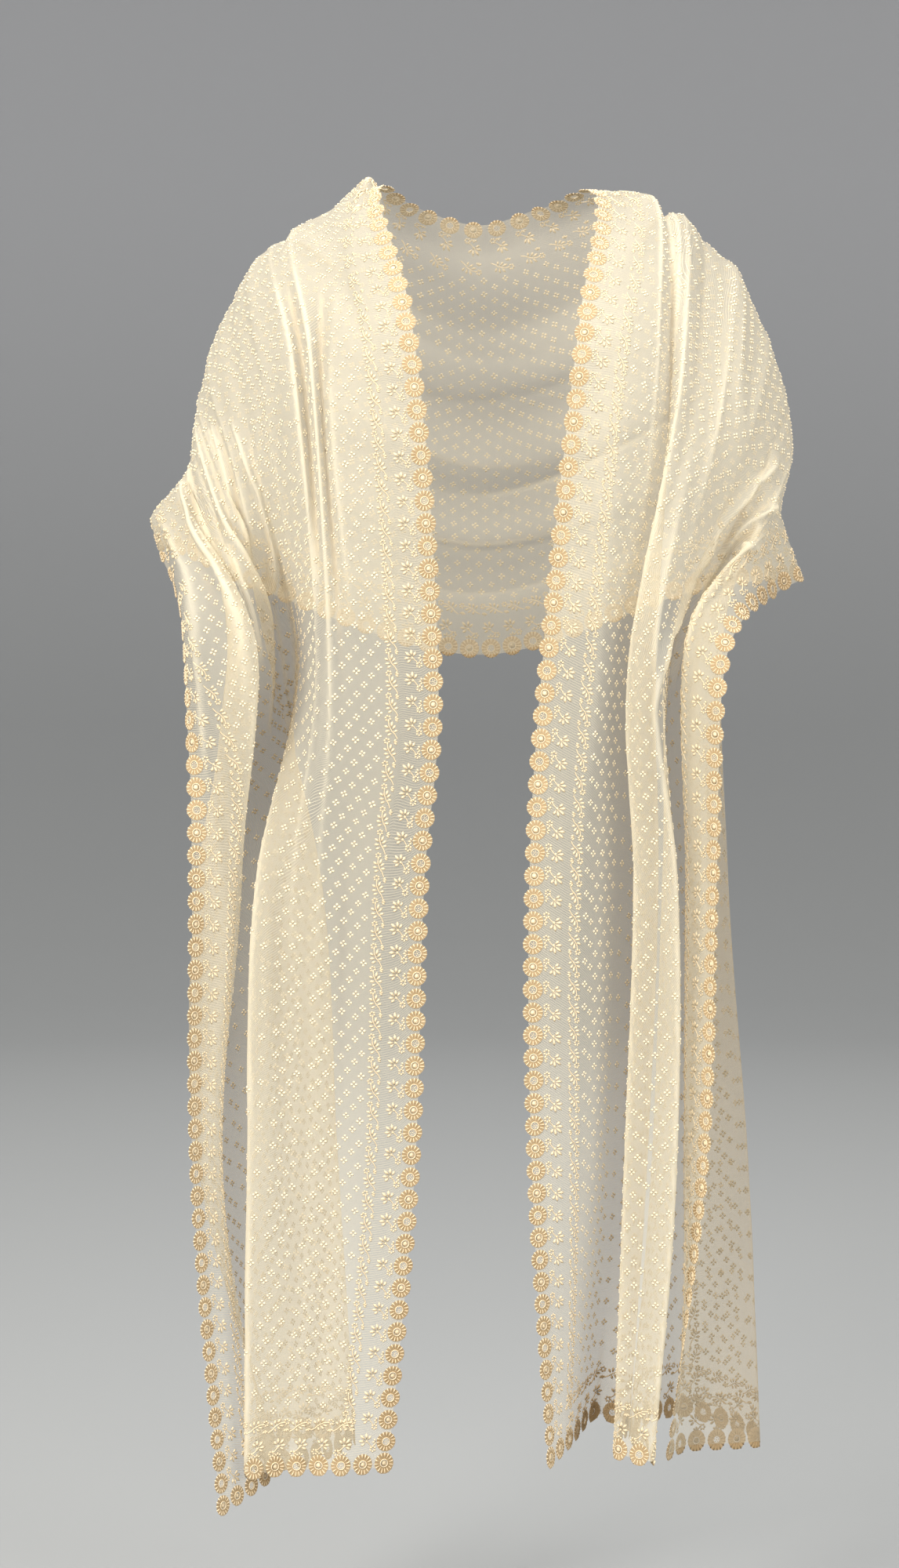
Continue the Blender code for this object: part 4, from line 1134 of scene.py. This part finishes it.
@dataclass
class LaceShawl:
    """The shawl: its net, the sprigs on it and its edging."""

    column_count: int = 82
    sprig_wobble: float = 0.16
    sprig_uneven: float = 0.07
    sharpest: float = 0.97
    least_gap: float = 0.0090
    same_stretch: float = 0.03
    bias: float = 0.005
    bias_reach: float = 0.31
    seam_gap: float = 0.25
    corner_overlap: float = 0.001
    corner_gap: float = 0.004
    hem_home: float = 1.6

    def __post_init__(self) -> None:
        """Shapes the cloth and mixes the finishes."""
        self.cloth = Cloth()
        self.net, self.lace, self.thread = net_material(NET), lace_material(LACE), lace_material(SPRIG)
        self.pieces: dict[str, bpy.types.Object] = {}

    def new_piece(self, name: str, mesh: bpy.types.Mesh, material: bpy.types.Material) -> None:
        """Links a finished mesh as a piece."""
        mesh.materials.clear()
        mesh.materials.append(material)
        mesh.shade_smooth()
        self.pieces[name] = linked(name, mesh)
        LOG.info("%s: %d faces", name, len(mesh.polygons))

    def make_ground(self) -> None:
        """The net itself, one sheer layer that ends inside the wheels."""
        cloth = self.cloth
        points = cloth.points[1:-1, 1:-1]
        points[0], points[-1] = self.end_rows()
        rows, columns = points.shape[:2]
        index = np.arange(rows * columns).reshape(rows, columns)
        quads = np.stack((index[:-1, :-1], index[1:, :-1], index[1:, 1:], index[:-1, 1:]), axis=-1)
        mesh = bpy.data.meshes.new("net_ground")
        mesh.from_pydata(points.reshape(-1, 3).tolist(), [], quads.reshape(-1, 4).tolist())
        flat = cloth.flat_places()[1:-1, 1:-1].reshape(-1, 2)
        corners = np.empty(len(mesh.loops), int)
        mesh.loops.foreach_get("vertex_index", corners)
        mesh.uv_layers.new(name="flat").data.foreach_set("uv", flat[corners].ravel())
        mark(mesh, "folded", np.maximum(cloth.sharpness, cloth.edges)[1:-1, 1:-1].ravel())
        # Painted shade: the net is coloured darker inside the hanging folds and in the troughs between pleats
        painted_trough_shade = TROUGH_SHADE * cloth.painted_trough_shade[1:-1, 1:-1].ravel()
        mark(mesh, "deep", np.maximum(painted_fold_shade(points.reshape(-1, 3)), painted_trough_shade))
        self.new_piece("net_ground", mesh, self.net)

    def end_rows(self) -> list[Array]:
        """The net's first and last rows, drawn in to where the valleys of the edge are."""
        cloth = self.cloth
        ends = []
        for row, inset in ((0, CUT.valley), (-1, -CUT.valley)):
            place = np.array([np.interp(run[row] + inset, run, cloth.along) for run in cloth.run.T[1:-1]])
            ends.append(cloth.sample(cloth.points, place, cloth.shares[1:-1]))
        return ends

    def sprig_layout(self) -> Layout:
        """The sprigs, in staggered columns along the whole net inside the border."""
        cloth = self.cloth
        parts = []
        for column in range(self.column_count):
            across = CUT.border + column * (CUT.width - 2 * CUT.border) / (self.column_count - 1)
            offset = 0.5 * (column % 2)
            drift = self.bias * math.sin(2 * math.pi * across / self.bias_reach)
            for run, share, stray in zip(*cloth.column(across)):
                first = math.ceil((run[0] + CUT.border) / CUT.row_pitch - offset)
                last = math.floor((run[-1] - CUT.border) / CUT.row_pitch - offset)
                places = (np.arange(first, last + 1) + offset) * CUT.row_pitch + drift
                along = np.interp(places, run, cloth.along)
                kept = np.interp(along, cloth.along, stray) < -self.seam_gap * CUT.column_pitch
                spot = (along, np.interp(along, cloth.along, share))
                parts.append(Layout.laid((places, across), spot, Lead.ALONG).only(kept))
        layout = Layout.joined(parts)
        sharpness = cloth.sample(cloth.sharpness, layout.spot[:, 0], layout.spot[:, 1])[:, 0]
        return self.thinned(layout.only(sharpness < self.sharpest))

    def thinned(self, layout: Layout) -> Layout:
        """The layout without the sprigs that the gathers push against a neighbour close by on the net."""
        shares = layout.spot[:, 1]
        places = self.cloth.sample(self.cloth.points, layout.spot[:, 0], shares)
        tree = KDTree(len(places))
        for index, place in enumerate(places):
            tree.insert(place, index)
        tree.balance()
        kept = np.ones(len(places), bool)
        for index in np.lexsort((layout.home[:, 0], layout.home[:, 1])):
            if kept[index]:
                for _, other, _ in tree.find_range(places[index], self.least_gap):
                    if other != index and abs(shares[other] - shares[index]) < self.same_stretch:
                        kept[other] = False
        return layout.only(kept)

    def edge_layout(self, inward: float, line: float) -> Layout:
        """One line of motifs along a long edge.

        Args:
            inward: 1 for the neck edge and -1 for the outer edge.
            line: how far inside the edge the motifs' middles are.

        Returns:
            One motif for each scallop, without those that the border round the corner takes.
        """
        cloth = self.cloth
        neck = inward > 0
        across = 0.0 if neck else CUT.width
        run = cloth.column(across)[0][0 if neck else 1]
        low, high = run[0] + CUT.wheel_centre, run[-1] - CUT.wheel_centre
        places = np.linspace(low, high, round((high - low) / CUT.scallop_pitch) + 1)
        least = line - self.corner_overlap
        places = places[(places - run[0] > least) & (run[-1] - places > least)]
        along = np.interp(places, run, cloth.along)
        length = np.interp(along, cloth.along, cloth.lengths)
        share = line / length if neck else 1.0 - line / length
        home = (places, across + inward * line)
        return Layout.laid(home, (along, share), Lead.ALONG, 0.0 if neck else math.pi)

    def hem_layout(self, side: int, line: float) -> Layout:
        """One line of motifs along a hem, between its two corners."""
        cloth = self.cloth
        last = side > 0
        length = cloth.lengths[-1 if last else 0]
        low, high = CUT.wheel_centre, length - CUT.wheel_centre
        places = np.linspace(low, high, round((high - low) / CUT.scallop_pitch) + 1)[1:-1]
        least = line + self.corner_gap
        places = places[(places > least) & (length - places > least)]
        shares = places / length
        along = []
        for share in shares:
            run = travelled(cloth.sample(cloth.points, cloth.along, np.full(ROWS, share)), 0)
            along.append(np.interp(run[-1] - line if last else line, run, cloth.along))
        home = (side * (self.hem_home - line), places)
        return Layout.laid(home, (np.array(along), shares), Lead.ACROSS, side * math.pi / 2)

    def border_layouts(self, line: float) -> list[Layout]:
        """One line of motifs all the way round, as its four sides."""
        edges = [self.edge_layout(inward, line) for inward in (1.0, -1.0)]
        return edges + [self.hem_layout(side, line) for side in (1, -1)]

    def make_sprigs(self) -> None:
        """The sprigs of each stretch."""
        stitcher = Stitcher(sprig(), self.thread, self.sprig_wobble, self.sprig_uneven, seed=7)
        self.make_stretches("sprigs", [(stitcher, self.sprig_layout())])

    def make_edging(self) -> None:
        """The wheels, sprays and vine of each stretch."""
        solid = Stitcher(wheel("solid_wheel", True), self.lace)
        web = Stitcher(wheel("web_wheel", False), self.lace)
        leaf = Stitcher(spray(), self.lace, wobble=0.06, uneven=0.05, seed=11)
        tendril = Stitcher(vine(), self.lace, wobble=0.04, uneven=0.03, seed=13)
        jobs: list[tuple[Stitcher, Layout]] = []
        for side in self.border_layouts(CUT.wheel_centre):
            odd = np.arange(len(side.turn)) % 2 == 0
            jobs += [(solid, side.only(odd)), (web, side.only(~odd))]
        jobs += [(leaf, side) for side in self.border_layouts(CUT.spray_line)]
        jobs += [(tendril, side) for side in self.border_layouts(CUT.vine_line)]
        self.make_stretches("edging", jobs)

    def make_stretches(self, title: str, jobs: Sequence[tuple[Stitcher, Layout]]) -> None:
        """Makes one piece for each stretch of the shawl.

        Args:
            title: how the pieces' names begin.
            jobs: each motif's stitcher, with its layout over the whole shawl.
        """
        for stretch in Stretch:
            parts = []
            for stitcher, layout in jobs:
                part = layout.only(self.cloth.stretch_of(layout.spot[:, 0], stretch))
                if len(part.turn):
                    parts.append((stitcher, part))
            self.gather(f"{title}_{stretch.value}", parts)
        for stitcher in dict.fromkeys(stitcher for stitcher, _ in jobs):
            stitcher.clear()

    def gather(self, name: str, parts: Sequence[tuple[Stitcher, Layout]]) -> None:
        """Sets several motifs out, carries them onto the worn cloth and joins them as one piece.

        Args:
            name: the piece's name.
            parts: each motif's stitcher, with its layout.
        """
        corners, faces, under = [], [], []
        for stitcher, layout in parts:
            flat = stitcher.set_out(layout)
            first = sum(len(part) for part in corners)
            corners.append(carry(self.cloth, flat))
            faces += [[first + k for k in face.vertices] for face in flat.polygons]
            tones = np.empty(len(flat.polygons))
            flat.attributes["under"].data.foreach_get("value", tones)
            under.append(tones)
            bpy.data.meshes.remove(flat)
        points = np.concatenate(corners)
        mesh = bpy.data.meshes.new(name)
        mesh.from_pydata(points.tolist(), [], faces)
        mark(mesh, "under", np.concatenate(under), "FACE")
        # Painted shade: the motifs are coloured darker inside the hanging folds
        mark(mesh, "deep", painted_fold_shade(points))
        self.new_piece(name, mesh, parts[0][0].material)

    def build(self) -> None:
        """Every piece, in order."""
        self.make_ground()
        self.make_sprigs()
        self.make_edging()

    def declare(self) -> None:
        """Hides the model's parts that the pieces stand in for and hangs every piece on the root."""
        nets = ["net_back"]
        for hand in ("right", "left"):
            nets += [f"net_shoulder_{hand}", f"net_front_{hand}", f"net_fall_{hand}"]
        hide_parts(*nets)
        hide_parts("neck_edge_back", "outer_edge_back")
        for hand in ("right", "left"):
            upper = (f"neck_edge_{hand}_upper", f"outer_edge_{hand}_upper")
            lower = (f"neck_edge_{hand}_lower", f"outer_edge_{hand}_lower", f"hem_{hand}")
            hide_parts(*upper)
            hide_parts(*lower)
        for name, piece in self.pieces.items():
            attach(piece, "root")
            "net" if name == "net_ground" else "lace"
        worked = [piece for name, piece in self.pieces.items() if name != "net_ground"]
        CUT.width - 2 * CUT.valley


@dataclass(frozen=True)
class Lamp:
    """One soft light of the studio."""

    name: str
    place: tuple[float, float, float]
    size: float
    power: float
    colour: tuple[float, float, float] = (1.0, 1.0, 1.0)


@dataclass
class Studio:
    """A pale floor that curves up into its backdrop, soft lights and the camera."""

    floor: float = -1.46
    wall: float = 8.5
    sweep: float = 3.6
    top: float = 6.0
    sides: int = 96
    arc_steps: int = 12
    # Over this height above the floor the paper is painted lighter, a painted light gradient up the backdrop
    painted_light_rise: float = 2.6
    paper: Finish = Finish("grey_paper", (0.32, 0.323, 0.316), (0.49, 0.49, 0.495), 0.95)
    sky: tuple[float, float, float, float] = (0.80, 0.82, 0.85, 1.0)
    sky_strength: float = 0.64
    camera_place: tuple[float, float, float] = (-0.031, -4.0, -0.35)
    aim: tuple[float, float, float] = (-0.031, 0.0, -0.592)
    lamp_aim: tuple[float, float, float] = (0.0, 0.0, -0.6)
    view_height: float = 1.6
    sensor: float = 24.0
    lamps: tuple[Lamp, ...] = (
        Lamp("key", (-2.6, -3.2, 1.6), 2.4, 290.0, (1.0, 0.98, 0.95)),
        Lamp("fill", (3.0, -3.0, 0.4), 3.0, 125.0),
        Lamp("top", (0.2, 0.3, 2.9), 2.4, 95.0),
        Lamp("back", (0.0, 4.2, 2.6), 3.0, 80.0),
    )

    def build(self) -> None:
        """Everything round the shawl."""
        self.make_backdrop()
        for lamp in self.lamps:
            self.make_lamp(lamp)
        self.make_camera()
        scene = bpy.context.scene
        scene.world = bpy.data.worlds.new("room")
        scene.world.use_nodes = True
        background = scene.world.node_tree.nodes["Background"].inputs
        background["Color"].default_value = self.sky
        background["Strength"].default_value = self.sky_strength
        scene.view_settings.view_transform = "Standard"

    def make_backdrop(self) -> None:
        """A round floor that sweeps up into the backdrop on every side."""
        angles = [math.pi / 2 * k / self.arc_steps for k in range(self.arc_steps + 1)]
        profile = [
            (self.wall - self.sweep + self.sweep * math.sin(angle),
             self.floor + self.sweep - self.sweep * math.cos(angle))
            for angle in angles
        ]
        profile.append((self.wall, self.top))
        sides = self.sides
        corners = [
            (*on_circle(2 * math.pi * k / sides, radius), z) for radius, z in profile for k in range(sides)
        ]
        corners.append((0.0, 0.0, self.floor))
        faces = [(k, (k + 1) % sides, len(corners) - 1) for k in range(sides)]
        for ring in range(len(profile) - 1):
            for k in range(sides):
                a, b = ring * sides + k, ring * sides + (k + 1) % sides
                faces.append((b, a, a + sides, b + sides))
        mesh = bpy.data.meshes.new("backdrop")
        mesh.from_pydata(corners, [], faces)
        mesh.shade_smooth()
        # Painted light: the paper goes from its darker floor colour to its lighter second colour with height
        mark(mesh, "tone", soft_step(np.array(corners)[:, 2], self.floor, self.floor + self.painted_light_rise))
        look = Look(self.paper)
        look.paint(look.bench.attribute("tone"))
        mesh.materials.append(look.material)
        linked("backdrop", mesh)

    def make_lamp(self, lamp: Lamp) -> None:
        """One square light, turned towards the shawl."""
        data = bpy.data.lights.new(lamp.name, "AREA")
        data.size = lamp.size
        data.energy = lamp.power
        data.color = lamp.colour
        self.point(linked(lamp.name, data), lamp.place, self.lamp_aim)

    @staticmethod
    def point(item: bpy.types.Object, place: Sequence[float], target: Sequence[float]) -> None:
        """Places an object and turns it towards a target."""
        item.location = place
        way = [b - a for a, b in zip(place, target)]
        item.rotation_euler = (
            math.atan2(math.hypot(way[0], way[1]), -way[2]),
            0.0,
            math.atan2(way[1], way[0]) - math.pi / 2,
        )

    def make_camera(self) -> None:
        """The camera, at the photograph's viewing angle."""
        data = bpy.data.cameras.new("camera")
        data.sensor_fit = "VERTICAL"
        data.sensor_height = self.sensor
        data.lens = self.sensor * math.dist(self.camera_place, self.aim) / self.view_height
        camera = linked("camera", data)
        self.point(camera, self.camera_place, self.aim)
        bpy.context.scene.camera = camera



def main() -> None:
    """Loads the frame, dresses it and lights it."""
    logging.basicConfig(level=logging.INFO, format="%(message)s")
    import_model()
    shawl = LaceShawl()
    shawl.build()
    shawl.declare()
    Studio().build()


if __name__ == "__main__":
    main()
